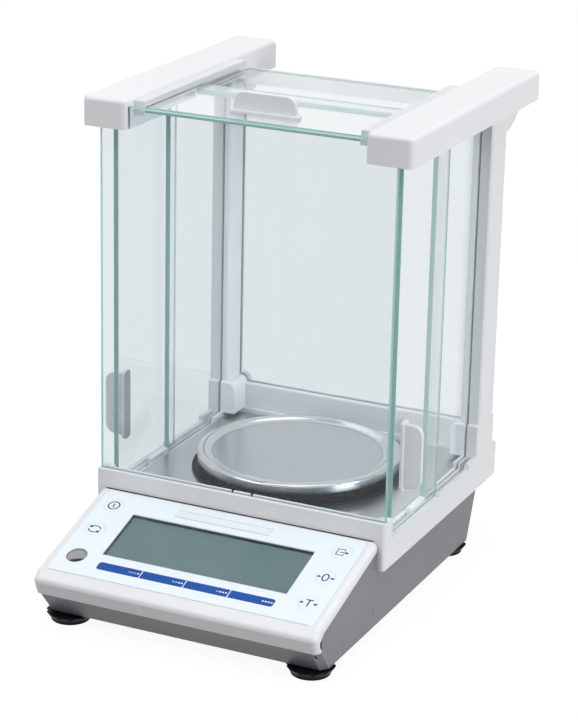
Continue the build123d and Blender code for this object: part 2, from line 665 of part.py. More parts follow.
def shield_tray():
    """White frame with the tracks of the sliding panes."""
    tray = tray_body()
    hollow = HALF_TRAY - TRAY_WALL
    rib = TRAY_FRONT + CASE_REAR_TOP
    under = DECK_TOP - DECK_THICKNESS
    tray -= block(-hollow, hollow, TRAY_FRONT + TRAY_WALL, rib - CASE_WALL, TRAY_BOTTOM, under)
    tray -= block(-hollow, hollow, rib, TRAY_REAR - TRAY_WALL - TRAY_REAR_CHAMFER, TRAY_BOTTOM, under)
    for x, y in screw_places():
        tray += rod(x, y, TRAY_BOTTOM, under, SCREW_HEAD_RADIUS + BOSS_WALL)
    for x, y in screw_places():
        tray -= rod(x, y, TRAY_BOTTOM, TRAY_BOTTOM + SCREW_LENGTH, SCREW_RADIUS)
    glass = TRAY_FRONT + FRONT_GLASS_SETBACK
    half = HALF_TRAY - FRONT_GLASS_INSET + TRACK_PLAY
    tray -= block(-half, half, glass - TRACK_PLAY, glass + GLASS + TRACK_PLAY,
                  FRONT_RIM_TOP - FRONT_GROOVE_DEPTH, FRONT_RIM_TOP)
    track_start = TRAY_FRONT + FRONT_RIM_DEPTH + CORNER_BLOCK_DEPTH
    floor_end = floor_half() + TRACK_PLAY
    for side in SIDES.values():
        tray -= side_block(side, DOOR_INNER - TRACK_PLAY, DOOR_OUTER + TRACK_PLAY, track_start,
                           COLUMN_Y0 - BOOT_MARGIN, PANE_BOTTOM, REAR_STEP_TOP)
        tray -= side_block(side, PANE_INNER - TRACK_PLAY, PANE_OUTER + TRACK_PLAY, track_start,
                           COLUMN_Y0 + REAR_PANE_GRIP + TRACK_PLAY, PANE_BOTTOM, REAR_STEP_TOP)
    tray -= block(-floor_end, floor_end, TRAY_FRONT + REAR_STEP_START, floor_rear() + TRACK_PLAY, DECK_TOP,
                  REAR_STEP_TOP)
    tab = RIM_TAB_WIDTH / 2
    back = TRAY_FRONT + FRONT_RIM_DEPTH
    for side in SIDES.values():
        tray -= side_block(side, tab, tab + RIM_NOTCH_WIDTH, glass + GLASS + TRACK_PLAY, back,
                           FRONT_RIM_TOP - RIM_NOTCH_DEPTH, FRONT_RIM_TOP)
    return tray - rod(0, PAN_Y, TRAY_BOTTOM, FRONT_RIM_TOP, POST_HOLE_RADIUS)


def floor_half():
    """Half the width of the chamber floor sheet."""
    return PANE_INNER - TRACK_PLAY - FLOOR_MARGIN


def floor_rear():
    """Back edge of the chamber floor sheet."""
    return REAR_GLASS_Y + GLASS - FENCE_DEPTH


def floor_plate():
    """Steel sheet on the floor of the weighing chamber."""
    front = TRAY_FRONT + FRONT_RIM_DEPTH
    sheet = block(-floor_half(), floor_half(), front, floor_rear(), DECK_TOP, FLOOR_TOP)
    return sheet - rod(0, PAN_Y, DECK_TOP, FLOOR_TOP, POST_HOLE_RADIUS)


def draft_ring():
    """Shallow dish on the floor whose lip keeps draughts out from under the pan."""
    dish_floor = FLOOR_TOP + RING_FLOOR
    ring = rod(0, PAN_Y, FLOOR_TOP, FLOOR_TOP + RING_HEIGHT, RING_INNER_RADIUS + RING_WALL)
    ring -= rod(0, PAN_Y, dish_floor, FLOOR_TOP + RING_HEIGHT, RING_INNER_RADIUS)
    ring -= rod(0, PAN_Y, FLOOR_TOP, dish_floor, POST_HOLE_RADIUS)
    rim = [e for e in ring.edges() if e.center().Z > FLOOR_TOP + RING_HEIGHT - NEAR]
    return fillet(rim, RING_WALL / 4)


def pan_support():
    """Black ribbed carrier under the pan."""
    plate_low = CARRIER_TOP - CARRIER_PLATE
    carrier = rod(0, PAN_Y, CARRIER_BOTTOM, CARRIER_TOP, CARRIER_RADIUS)
    carrier -= rod(0, PAN_Y, CARRIER_BOTTOM, plate_low, CARRIER_RADIUS - CARRIER_WALL)
    for i in range(CARRIER_RIB_COUNT):
        rib = Box(CARRIER_RIB + CARRIER_WALL / 2, CARRIER_RIB_WIDTH, CARRIER_TOP - CARRIER_BOTTOM,
                  align=(Align.MAX, Align.CENTER, Align.MIN))
        turn = Rot(0, 0, 360 * i / CARRIER_RIB_COUNT)
        carrier += Pos(0, PAN_Y, CARRIER_BOTTOM) * turn * Pos(CARRIER_RADIUS + CARRIER_RIB, 0, 0) * rib
    for i in range(CARRIER_ARM_COUNT):
        arm = Box(CARRIER_RADIUS - CARRIER_WALL / 2, CARRIER_ARM_WIDTH, plate_low - CARRIER_BOTTOM,
                  align=(Align.MIN, Align.CENTER, Align.MIN))
        carrier += Pos(0, PAN_Y, CARRIER_BOTTOM) * Rot(0, 0, 360 * i / CARRIER_ARM_COUNT) * arm
    carrier += rod(0, PAN_Y, CARRIER_BOTTOM, CARRIER_TOP, CARRIER_HUB_RADIUS)
    for i in range(CARRIER_PAD_COUNT):
        angle = math.radians(90 + 360 * i / CARRIER_PAD_COUNT)
        x = CARRIER_PAD_CIRCLE * math.cos(angle)
        y = PAN_Y + CARRIER_PAD_CIRCLE * math.sin(angle)
        carrier += rod(x, y, plate_low, PAN_UNDERSIDE, CARRIER_PAD_RADIUS)
    return carrier - rod(0, PAN_Y, CARRIER_BOTTOM, POST_TOP, POST_RADIUS + POST_PLAY)


def weighing_pan():
    """Polished steel dish with a rolled rim."""
    flat = PAN_RADIUS - PAN_RIM_WIDTH
    floor = PAN_TOP - PAN_DISH
    crest = PAN_RADIUS - PAN_RIM_WIDTH / 3
    low = PAN_TOP - PAN_RIM_HEIGHT
    shoulder = PAN_TOP - PAN_RIM_HEIGHT / 3
    outer = [
        Line((0, 0, floor), (flat, 0, floor)),
        Spline((flat, 0, floor), (crest, 0, PAN_TOP), tangents=((1, 0, 0), (1, 0, 0))),
        Spline((crest, 0, PAN_TOP), (PAN_RADIUS, 0, shoulder), tangents=((1, 0, 0), (0, 0, -1))),
        Line((PAN_RADIUS, 0, shoulder), (PAN_RADIUS, 0, low)),
        Line((PAN_RADIUS, 0, low), (PAN_RADIUS - PAN_SHEET, 0, low)),
        Line((PAN_RADIUS - PAN_SHEET, 0, low), (PAN_RADIUS - PAN_SHEET, 0, shoulder)),
        Line((PAN_RADIUS - PAN_SHEET, 0, shoulder), (crest, 0, PAN_TOP - PAN_SHEET)),
        Line((crest, 0, PAN_TOP - PAN_SHEET), (flat + PAN_SHEET, 0, floor - PAN_SHEET)),
        Line((flat + PAN_SHEET, 0, floor - PAN_SHEET), (0, 0, floor - PAN_SHEET)),
        Line((0, 0, floor - PAN_SHEET), (0, 0, floor)),
    ]
    face = make_face(outer)
    return Pos(0, PAN_Y, 0) * revolve(face, Axis.Z)


def pan_post():
    """Stem that carries the pan's load down to the lever."""
    post = rod(0, PAN_Y, LEVER_TOP, POST_TOP, POST_RADIUS)
    return post + rod(0, PAN_Y, LEVER_TOP, LEVER_TOP + LEVER_THICKNESS, LEVER_WIDTH / 2)


def front_glass_top():
    """Top of the front pane, just over the sliding top pane behind it."""
    return TOP_DOOR_Z + FRONT_GLASS_RISE


def front_glass():
    """Fixed front pane."""
    y0 = TRAY_FRONT + FRONT_GLASS_SETBACK
    half = HALF_TRAY - FRONT_GLASS_INSET
    return block(-half, half, y0, y0 + GLASS, FRONT_RIM_TOP - FRONT_GROOVE_DEPTH, front_glass_top())


def door_glass(side):
    """Sliding pane in the outer track of one side."""
    y0 = TRAY_FRONT + DOOR_FRONT
    return side_block(side, DOOR_INNER, DOOR_OUTER, y0, y0 + DOOR_LENGTH, PANE_BOTTOM + DOOR_FOOT_GAP,
                      RAIL_BOTTOM + PANE_TOP_GRIP)


def rear_pane(side):
    """Fixed pane in the inner track of one side."""
    return side_block(side, PANE_INNER, PANE_OUTER, TRAY_FRONT + REAR_PANE_FRONT, COLUMN_Y0 + REAR_PANE_GRIP,
                      PANE_BOTTOM, RAIL_BOTTOM + PANE_TOP_GRIP)


def rear_glass():
    """Fixed pane between the columns."""
    half = COLUMN_INNER + REAR_GLASS_GRIP
    low = REAR_STEP_TOP + FENCE_HEIGHT - REAR_GLASS_GRIP
    return block(-half, half, REAR_GLASS_Y, REAR_GLASS_Y + GLASS, low, bar_bottom() + REAR_GLASS_GRIP)


def bar_bottom():
    """Underside of the rear top bar."""
    return TOP_REAR_Z - REAR_BAR_HEIGHT


def top_door_glass():
    """Sliding pane over the chamber."""
    y0 = TRAY_FRONT + TOP_DOOR_FRONT
    return block(-TOP_PANE_HALF, TOP_PANE_HALF, y0, y0 + TOP_DOOR_LENGTH, TOP_DOOR_Z - GLASS, TOP_DOOR_Z)


def top_rear_pane():
    """Fixed pane over the back of the chamber."""
    y0 = TRAY_FRONT + TOP_REAR_FRONT
    y1 = TRAY_FRONT + REAR_BAR_FRONT + REAR_GLASS_GRIP
    return block(-TOP_PANE_HALF, TOP_PANE_HALF, y0, y1, TOP_REAR_Z - GLASS, TOP_REAR_Z)


def handle():
    """Door handle on its back, length along X, fin upwards."""
    base = RectangleRounded(HANDLE_LENGTH, HANDLE_BASE_WIDTH, HANDLE_BASE_RADIUS)
    body = extrude(base, amount=HANDLE_BASE)
    half = HANDLE_LENGTH / 2 - HANDLE_BASE
    top = HANDLE_BASE + HANDLE_FIN
    narrow = half - HANDLE_TAPER
    face = make_face(Polyline([(-half, 0), (half, 0), (narrow, top), (-narrow, top)], close=True))
    face = fillet(face.vertices().sort_by(Axis.Y)[-2:], HANDLE_FIN_RADIUS)
    fin = extrude(Plane.XZ * face, amount=HANDLE_FIN_THICKNESS / 2, both=True)
    rims = [e for e in fin.edges() if abs(abs(e.center().Y) - HANDLE_FIN_THICKNESS / 2) < NEAR
            and e.center().Z > HANDLE_BASE]
    return body + fillet(rims, HANDLE_FIN_THICKNESS / 4)


def side_handle(side):
    """Handle on the outside of a sliding side pane, standing upright."""
    y = TRAY_FRONT + DOOR_FRONT + SIDE_HANDLE_FROM_EDGE
    z = DECK_TOP + SIDE_HANDLE_RISE + HANDLE_LENGTH / 2
    place = Plane(origin=(side * DOOR_OUTER, y, z), x_dir=(0, 0, 1), z_dir=(side, 0, 0))
    return place * handle()


def top_handle():
    """Handle on the sliding top pane."""
    return Pos(0, TRAY_FRONT + TOP_DOOR_FRONT + TOP_HANDLE_FROM_EDGE, TOP_DOOR_Z) * handle()


def boot_top():
    """Height at which the columns stand on their boots."""
    return REAR_STEP_TOP + BOOT_HEIGHT


def column(side):
    """Rear corner column with its gusset under the rail."""
    low = boot_top()
    post = side_block(side, COLUMN_INNER, HALF_TRAY, COLUMN_Y0, COLUMN_Y1, low, RAIL_BOTTOM)
    post = chamfer(post.edges().filter_by(Axis.Z), COLUMN_CHAMFER)
    root = COLUMN_Y1 - COLUMN_CHAMFER
    tip = COLUMN_Y1 + GUSSET_REACH
    root_low = (0, root, RAIL_BOTTOM - GUSSET_HEIGHT)
    tip_low = (0, tip, RAIL_BOTTOM - GUSSET_TIP)
    curve = [
        Line((0, root, RAIL_BOTTOM), (0, tip, RAIL_BOTTOM)),
        Line((0, tip, RAIL_BOTTOM), tip_low),
        Spline(tip_low, root_low, tangents=((0, -1, -1), (0, -1, 0))),
        Line(root_low, (0, root, RAIL_BOTTOM)),
    ]
    gusset = extrude(make_face(curve), amount=COLUMN_WIDTH / 2 - COLUMN_CHAMFER, dir=(1, 0, 0), both=True)
    post += Pos(side * (COLUMN_INNER + COLUMN_WIDTH / 2), 0, 0) * gusset
    post += tenon(side, 0.0)
    post -= side_block(side, PANE_INNER - TRACK_PLAY, PANE_OUTER + TRACK_PLAY, COLUMN_Y0,
                       COLUMN_Y0 + REAR_PANE_GRIP + TRACK_PLAY, low - TENON_LENGTH, RAIL_BOTTOM)
    glass_low = REAR_GLASS_Y - TRACK_PLAY
    return post - side_block(side, COLUMN_INNER, COLUMN_INNER + REAR_GLASS_GRIP + TRACK_PLAY, glass_low,
                             glass_low + GLASS + 2 * TRACK_PLAY, low - TENON_LENGTH, RAIL_BOTTOM)


def tenon(side, grow):
    """The stub of a column that stands in its boot, or the socket for it."""
    margin = TENON_MARGIN - grow
    front = COLUMN_Y0 + REAR_PANE_GRIP + TENON_MARGIN - grow
    rear = REAR_GLASS_Y - TENON_MARGIN + grow
    return side_block(side, COLUMN_INNER + margin, HALF_TRAY - margin, front, rear,
                      boot_top() - TENON_LENGTH - grow, boot_top())


def rear_fence():
    """Low frame across the back, with a boot under each column."""
    low = REAR_STEP_TOP
    front = REAR_GLASS_Y + GLASS / 2 - FENCE_DEPTH / 2
    inner = COLUMN_INNER - BOOT_INNER_MARGIN
    bar = block(-inner - 1, inner + 1, front, front + FENCE_DEPTH, low, low + FENCE_HEIGHT)
    bar = fillet([e for e in bar.edges().filter_by(Axis.X) if e.center().Z > low + 1], FENCE_RADIUS)
    fence = bar
    for side in SIDES.values():
        boot = side_block(side, inner, HALF_TRAY, COLUMN_Y0 - BOOT_MARGIN, COLUMN_Y1 + BOOT_MARGIN,
                          low, boot_top())
        crown = [e for e in boot.edges().filter_by(Axis.Y) if e.center().Z > boot_top() - NEAR
                 and abs(abs(e.center().X) - inner) < NEAR]
        boot = fillet(crown, BOOT_RADIUS)
        uprights = [e for e in boot.edges().filter_by(Axis.Z)]
        boot = fillet(uprights, COLUMN_CHAMFER)
        fence += boot
    for side in SIDES.values():
        fence -= tenon(side, TRACK_PLAY)
        fence -= side_block(side, PANE_INNER - TRACK_PLAY, PANE_OUTER + TRACK_PLAY, COLUMN_Y0 - BOOT_MARGIN,
                            COLUMN_Y0 + REAR_PANE_GRIP + TRACK_PLAY, low, boot_top())
    half = COLUMN_INNER + REAR_GLASS_GRIP + TRACK_PLAY
    glass_low = REAR_GLASS_Y - TRACK_PLAY
    fence -= block(-half, half, glass_low, glass_low + GLASS + 2 * TRACK_PLAY,
                   low + FENCE_HEIGHT - REAR_GLASS_GRIP, boot_top())
    return fence


def rail_cover(side):
    """White channel over the heads of the side panes."""
    rear = RAIL_REAR - END_CAP
    cover = side_block(side, RAIL_INNER, RAIL_OUTER, TRAY_FRONT, rear, RAIL_BOTTOM, RAIL_TOP)
    uprights = [e for e in cover.edges().filter_by(Axis.Z) if e.center().Y < TRAY_FRONT + 1]
    cover = fillet(uprights, RAIL_SIDE_RADIUS)
    crown = [e for e in cover.edges() if e.center().Z > RAIL_TOP - NEAR and e.center().Y < rear - 1]
    cover = fillet(crown, RAIL_CROWN_RADIUS)
    cover -= side_block(side, RAIL_INNER + RAIL_WALL, RAIL_OUTER - RAIL_WALL, TRAY_FRONT + RAIL_WALL, rear,
                        RAIL_BOTTOM, RAIL_TOP - RAIL_WALL)
    glass_front = TRAY_FRONT + FRONT_GLASS_SETBACK - TRACK_PLAY
    glass_rear = TRAY_FRONT + FRONT_GLASS_SETBACK + GLASS + TRACK_PLAY
    return cover - side_block(side, 0, RAIL_INNER + RAIL_WALL, glass_front, glass_rear, RAIL_BOTTOM,
                              front_glass_top() + TRACK_PLAY)


def rail_end_cap(side):
    """Plate that closes the back of a rail, with a plug inside the channel."""
    rear = RAIL_REAR - END_CAP
    top = RAIL_TOP - RAIL_SIDE_RADIUS / 4
    cap = side_block(side, RAIL_INNER, RAIL_OUTER, rear, RAIL_REAR, RAIL_BOTTOM, top)
    cap = fillet([e for e in cap.edges().filter_by(Axis.Y) if e.center().Z > RAIL_TOP - RAIL_SIDE_RADIUS],
                 RAIL_CROWN_RADIUS)
    plug = RAIL_WALL + GUIDE_PLAY
    return cap + side_block(side, RAIL_INNER + plug, RAIL_OUTER - plug, rear - 2 * END_CAP, rear,
                            RAIL_BOTTOM + SIDE_GUIDE_HEIGHT, RAIL_TOP - plug)


def side_guide(side):
    """Grooved strip in the rail that guides the heads of the side panes."""
    inner = RAIL_INNER + RAIL_WALL + GUIDE_PLAY
    outer = RAIL_OUTER - RAIL_WALL - GUIDE_PLAY
    front = TRAY_FRONT + RAIL_WALL + GUIDE_PLAY
    rear = RAIL_REAR - END_CAP
    strip = side_block(side, inner, outer, front, rear, RAIL_BOTTOM, RAIL_BOTTOM + SIDE_GUIDE_HEIGHT)
    head = RAIL_BOTTOM + GUIDE_GROOVE_DEPTH
    strip -= side_block(side, 0, HALF_TRAY - FRONT_GLASS_INSET + TRACK_PLAY, front,
                        TRAY_FRONT + FRONT_GLASS_SETBACK + GLASS + TRACK_PLAY, RAIL_BOTTOM,
                        front_glass_top() + TRACK_PLAY)
    groove_front = TRAY_FRONT + FRONT_RIM_DEPTH + CORNER_BLOCK_DEPTH
    strip -= side_block(side, DOOR_INNER - TRACK_PLAY, DOOR_OUTER + TRACK_PLAY, groove_front,
                        COLUMN_Y0 - TRACK_PLAY, RAIL_BOTTOM, head)
    return strip - side_block(side, PANE_INNER - TRACK_PLAY, PANE_OUTER + TRACK_PLAY, groove_front,
                              COLUMN_Y0 + REAR_PANE_GRIP + TRACK_PLAY, RAIL_BOTTOM, head)


def top_guide(side):
    """Grooved strip on the inner face of a rail for the top panes, deeper under the rear one."""
    front = TRAY_FRONT + TOP_GUIDE_FRONT
    rear = front + TOP_GUIDE_LENGTH
    step = TRAY_FRONT + TOP_REAR_FRONT - TRACK_PLAY - TOP_GUIDE_END_WALL
    low = TOP_REAR_Z - GLASS - TOP_GUIDE_DROP
    high = TOP_DOOR_Z + TRACK_PLAY + TOP_GUIDE_LIP
    strip = side_block(side, RAIL_INNER - TOP_GUIDE_WIDTH, RAIL_INNER, front, rear, low, high)
    strip -= side_block(side, 0, RAIL_INNER, front, step, low, TOP_DOOR_Z - GLASS - TOP_GUIDE_DROP)
    groove = TOP_PANE_HALF + TRACK_PLAY
    for top, pane_front in ((TOP_DOOR_Z, TOP_DOOR_FRONT), (TOP_REAR_Z, TOP_REAR_FRONT)):
        strip -= side_block(side, 0, groove, TRAY_FRONT + pane_front - TRACK_PLAY, rear,
                            top - GLASS - TRACK_PLAY, top + TRACK_PLAY)
    return strip


def rear_top_bar():
    """Bar between the rails that holds the head of the rear pane and carries the rear top pane."""
    front = TRAY_FRONT + REAR_BAR_FRONT
    rear = front + REAR_BAR_DEPTH
    bar = block(-RAIL_INNER, RAIL_INNER, front, rear, bar_bottom(), TOP_REAR_Z - GLASS)
    glass_low = REAR_GLASS_Y - TRACK_PLAY
    return bar - block(-RAIL_INNER, RAIL_INNER, glass_low, glass_low + GLASS + 2 * TRACK_PLAY, bar_bottom(),
                       bar_bottom() + REAR_GLASS_GRIP + TRACK_PLAY)


def track_stops():
    """Blocks in the inner tracks that keep the fixed panes back."""
    rear = TRAY_FRONT + REAR_PANE_FRONT
    top = DECK_TOP + STOP_BLOCK_RISE
    solids = []
    for side in SIDES.values():
        stop = side_block(side, PANE_INNER, PANE_OUTER, rear - STOP_BLOCK_LENGTH, rear, PANE_BOTTOM, top)
        crown = [e for e in stop.edges().filter_by(Axis.X) if e.center().Z > top - NEAR]
        solids.append(chamfer(crown, GLASS / 4))
    return Compound(solids)


def foot_wheel(x, y):
    """Fluted levelling wheel with its stud."""
    low = FOOT_PAD_HEIGHT
    wheel = rod(x, y, low, FOOT_TOP, FOOT_BOTTOM_RADIUS, FOOT_TOP_RADIUS)
    for i in range(FOOT_FLUTE_COUNT):
        angle = 2 * math.pi * i / FOOT_FLUTE_COUNT
        fx = x + (FOOT_TOP_RADIUS + FOOT_FLUTE_RADIUS / 3) * math.cos(angle)
        fy = y + (FOOT_TOP_RADIUS + FOOT_FLUTE_RADIUS / 3) * math.sin(angle)
        wheel -= rod(fx, fy, low, FOOT_TOP, FOOT_FLUTE_RADIUS)
    wheel += rod(x, y, low, FOOT_TOP + STUD_LENGTH, STUD_RADIUS)
    return wheel - rod(x, y, low, low + FOOT_PIN_LENGTH + RUNNING_PLAY, FOOT_PIN_RADIUS + RUNNING_PLAY)


def foot_pad(x, y):
    """Rubber foot under a levelling wheel, with its pivot pin."""
    pad = rod(x, y, 0, FOOT_PAD_HEIGHT, FOOT_PAD_RADIUS)
    pad = fillet([e for e in pad.edges() if e.center().Z < FOOT_PAD_HEIGHT / 2], FOOT_PAD_HEIGHT / 4)
    return pad + rod(x, y, FOOT_PAD_HEIGHT / 2, FOOT_PAD_HEIGHT + FOOT_PIN_LENGTH, FOOT_PIN_RADIUS)


def foot_bushes():
    """Threaded inserts that the studs turn in."""
    solids = []
    for x, y in FEET.values():
        bush = rod(x, y, CASE_BOTTOM, CASE_BOTTOM + BUSH_LENGTH, BUSH_RADIUS)
        solids.append(bush - rod(x, y, CASE_BOTTOM, CASE_BOTTOM + BUSH_LENGTH, STUD_RADIUS + RUNNING_PLAY))
    return Compound(solids)


def chassis_plate():
    """Cast plate that carries the force sensor."""
    half = CHASSIS_WIDTH / 2
    plate = block(-half, half, CHASSIS_Y0, CHASSIS_Y0 + CHASSIS_LENGTH, CHASSIS_BOTTOM, CHASSIS_TOP)
    return fillet(plate.edges().filter_by(Axis.Z), STANDOFF_INSET)


def sensor_front():
    """Front of the force sensor block, whose back end stands under the pan."""
    return PAN_Y - LEVER_OVERLAP - SENSOR_LENGTH


def fork_sensor():
    """Tuning-fork force sensor in its flexure block."""
    half = SENSOR_WIDTH / 2
    y0 = sensor_front()
    y1 = y0 + SENSOR_LENGTH
    sensor = block(-half, half, y0, y1, CHASSIS_TOP, SENSOR_TOP)
    wall = SENSOR_HEIGHT / 4
    sensor -= block(-half, half, y0 + wall, y1 - wall, CHASSIS_TOP + wall, CHASSIS_TOP + wall + SENSOR_SLOT)
    prong = SENSOR_WIDTH / 4
    sensor -= block(-FORK_SLOT / 2, FORK_SLOT / 2, y0 + wall, y1 - 2 * wall, SENSOR_TOP - wall, SENSOR_TOP)
    sensor -= block(prong, half - wall / 2, y0 + wall, y1 - 2 * wall, SENSOR_TOP - wall, SENSOR_TOP)
    return sensor - block(-half + wall / 2, -prong, y0 + wall, y1 - 2 * wall, SENSOR_TOP - wall, SENSOR_TOP)


def load_lever():
    """Lever from the sensor to the pan's stem."""
    half = LEVER_WIDTH / 2
    y0 = sensor_front() + SENSOR_LENGTH - LEVER_OVERLAP
    return block(-half, half, y0, PAN_Y + half, SENSOR_TOP, LEVER_TOP)


def main_board():
    """Main circuit board with its larger components."""
    half = MAIN_BOARD_WIDTH / 2
    y0 = TRAY_FRONT + MAIN_BOARD_FRONT
    top = CHASSIS_BOTTOM + BOARD
    board = block(-half, half, y0, y0 + MAIN_BOARD_LENGTH, CHASSIS_BOTTOM, top)
    for i in (-1, 0, 1):
        x = i * MAIN_BOARD_WIDTH / 4
        board += block(x - CHIP / 2, x + CHIP / 2, y0 + CHIP, y0 + 2 * CHIP, top, top + CHIP_HEIGHT)
    return board


def serial_connector():
    """Data socket in the rear wall."""
    z = CASE_BOTTOM + PORT_RISE
    y = rear_wall_y(z)
    half = SERIAL_WIDTH / 2
    half_height = PORT_HEIGHT / 2
    body = block(-PORT_X - half, -PORT_X + half, y - SERIAL_DEPTH, y, z - half_height, z + half_height)
    tongue = SERIAL_TONGUE_WIDTH / 2
    rise = SERIAL_TONGUE_HEIGHT / 2
    return body + block(-PORT_X - tongue, -PORT_X + tongue, y, y + SERIAL_TONGUE_REACH, z - rise, z + rise)


def power_jack():
    """Low-voltage power inlet in the rear wall."""
    z = CASE_BOTTOM + PORT_RISE
    y = rear_wall_y(z)
    half = PORT_HEIGHT / 2
    body = block(PORT_X - half, PORT_X + half, y - JACK_DEPTH, y, z - half, z + half)
    along = Pos(PORT_X, y, z) * Rot(90, 0, 0)
    body += along * Cylinder(JACK_RADIUS - CASE_PLAY, 2 * CASE_WALL)
    body -= along * Cylinder(JACK_BORE, 2 * (JACK_DEPTH - CASE_WALL))
    pin = JACK_DEPTH - CASE_WALL / 2
    return body + Pos(PORT_X, y - pin / 2, z) * Rot(90, 0, 0) * Cylinder(JACK_PIN, pin)


def case_screws():
    """Screws that hold the tray on the case."""
    solids = []
    for x, y in screw_places():
        screw = rod(x, y, TRAY_BOTTOM - 2 * SCREW_HEAD, TRAY_BOTTOM - SCREW_HEAD, SCREW_HEAD_RADIUS)
        tip = TRAY_BOTTOM + SCREW_LENGTH - SCREW_HEAD
        screw += rod(x, y, TRAY_BOTTOM - SCREW_HEAD, tip, SCREW_RADIUS - RUNNING_PLAY)
        solids.append(screw)
    return Compound(solids)


def side_blanking_plate():
    """Plate over the unused option port on the right side."""
    return side_plate_block(0.0)


def parts():
    """Every node by its name."""
    nodes = {
        "lower_case": lower_case(),
        "console_cover": console_cover(),
        "membrane_overlay": membrane_overlay(),
        "lcd_window": lcd_window(),
        "lcd_module": lcd_module(),
        "display_board": display_board(),
        "bubble_vial": bubble_vial(),
        "vial_holder": vial_holder(),
        "shield_tray": shield_tray(),
        "floor_plate": floor_plate(),
        "draft_ring": draft_ring(),
        "pan_support": pan_support(),
        "weighing_pan": weighing_pan(),
        "pan_post": pan_post(),
        "front_glass": front_glass(),
        "rear_glass": rear_glass(),
        "top_door_glass": top_door_glass(),
        "top_rear_pane": top_rear_pane(),
        "top_door_handle": top_handle(),
        "rear_fence": rear_fence(),
        "rear_top_bar": rear_top_bar(),
        "track_stops": track_stops(),
        "foot_bushes": foot_bushes(),
        "chassis_plate": chassis_plate(),
        "fork_sensor": fork_sensor(),
        "load_lever": load_lever(),
        "main_board": main_board(),
        "serial_connector": serial_connector(),
        "power_jack": power_jack(),
        "case_screws": case_screws(),
        "side_blanking_plate": side_blanking_plate(),
    }
    for name, (x, row) in KEYS.items():
        nodes["key_" + name] = key(x, row)
    for name, side in SIDES.items():
        nodes[name + "_door_glass"] = door_glass(side)
        nodes[name + "_door_handle"] = side_handle(side)
        nodes[name + "_rear_pane"] = rear_pane(side)
        nodes[name + "_column"] = column(side)
        nodes[name + "_rail_cover"] = rail_cover(side)
        nodes[name + "_rail_end_cap"] = rail_end_cap(side)
        nodes[name + "_side_guide"] = side_guide(side)
        nodes[name + "_top_guide"] = top_guide(side)
    for name, (x, y) in FEET.items():
        nodes["foot_wheel_" + name] = foot_wheel(x, y)
        nodes["foot_pad_" + name] = foot_pad(x, y)
    return nodes


if __name__ == "__main__":
    os.makedirs("parts", exist_ok=True)
    for name, shape in parts().items():
        export_step(shape, f"parts/{name}.step")
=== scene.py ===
"""Laboratory balance with a glass draft shield: finishes, printed panel, glass, lights and camera."""

import json
import logging
import math
from dataclasses import dataclass, field
from enum import Enum
from typing import Callable, Iterable, Sequence

import bmesh
import bpy
from mathutils import Matrix, Vector

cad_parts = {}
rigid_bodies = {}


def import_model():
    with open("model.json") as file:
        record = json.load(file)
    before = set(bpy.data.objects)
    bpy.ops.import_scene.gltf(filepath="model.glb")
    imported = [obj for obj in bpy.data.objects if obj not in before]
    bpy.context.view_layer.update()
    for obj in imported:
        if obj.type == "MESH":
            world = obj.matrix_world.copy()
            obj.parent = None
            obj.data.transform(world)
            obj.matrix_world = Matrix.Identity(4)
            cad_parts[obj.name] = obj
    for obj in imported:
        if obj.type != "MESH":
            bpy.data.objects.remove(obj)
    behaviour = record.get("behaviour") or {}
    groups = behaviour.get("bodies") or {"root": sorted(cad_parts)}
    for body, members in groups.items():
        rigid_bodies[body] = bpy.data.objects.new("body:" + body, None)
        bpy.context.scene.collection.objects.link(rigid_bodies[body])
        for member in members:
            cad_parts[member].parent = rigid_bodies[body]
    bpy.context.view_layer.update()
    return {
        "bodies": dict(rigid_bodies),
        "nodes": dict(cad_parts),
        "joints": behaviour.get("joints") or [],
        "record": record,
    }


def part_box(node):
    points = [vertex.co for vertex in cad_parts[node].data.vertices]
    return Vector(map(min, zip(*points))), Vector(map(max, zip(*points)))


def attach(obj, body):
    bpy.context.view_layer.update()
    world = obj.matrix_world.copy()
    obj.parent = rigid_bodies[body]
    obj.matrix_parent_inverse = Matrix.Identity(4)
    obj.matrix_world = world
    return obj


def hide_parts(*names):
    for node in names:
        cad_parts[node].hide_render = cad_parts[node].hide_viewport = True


LOG = logging.getLogger("balance")
FRAME: dict = {}
MM = 0.001
BEVEL_SEGMENTS = 2
BEVEL_ANGLE = 40
Colour = tuple[float, float, float]
Point = tuple[float, float, float]
Flat = tuple[float, float]
Wire = tuple[bpy.types.Node, str | int, bpy.types.Node, str | int]


class Side(Enum):
    """The two sides of the shield."""

    LEFT = "left"
    RIGHT = "right"


class Texture(Enum):
    """The surface effects that the finishes share."""

    MOULDED = "moulded skin"
    BRUSHED = "brushed lines"
    TURNED = "turned rings"


def fill(node: bpy.types.Node, values: dict) -> bpy.types.Node:
    """Sets inputs of a node, by name or number, and gives the node back."""
    for label, value in values.items():
        node.inputs[label].default_value = value
    return node


def wire(tree: bpy.types.NodeTree, *wires: Wire) -> None:
    """Joins outputs to inputs; each wire names a node, its output, the next node and its input."""
    for source, output, target, entry in wires:
        tree.links.new(source.outputs[output], target.inputs[entry])


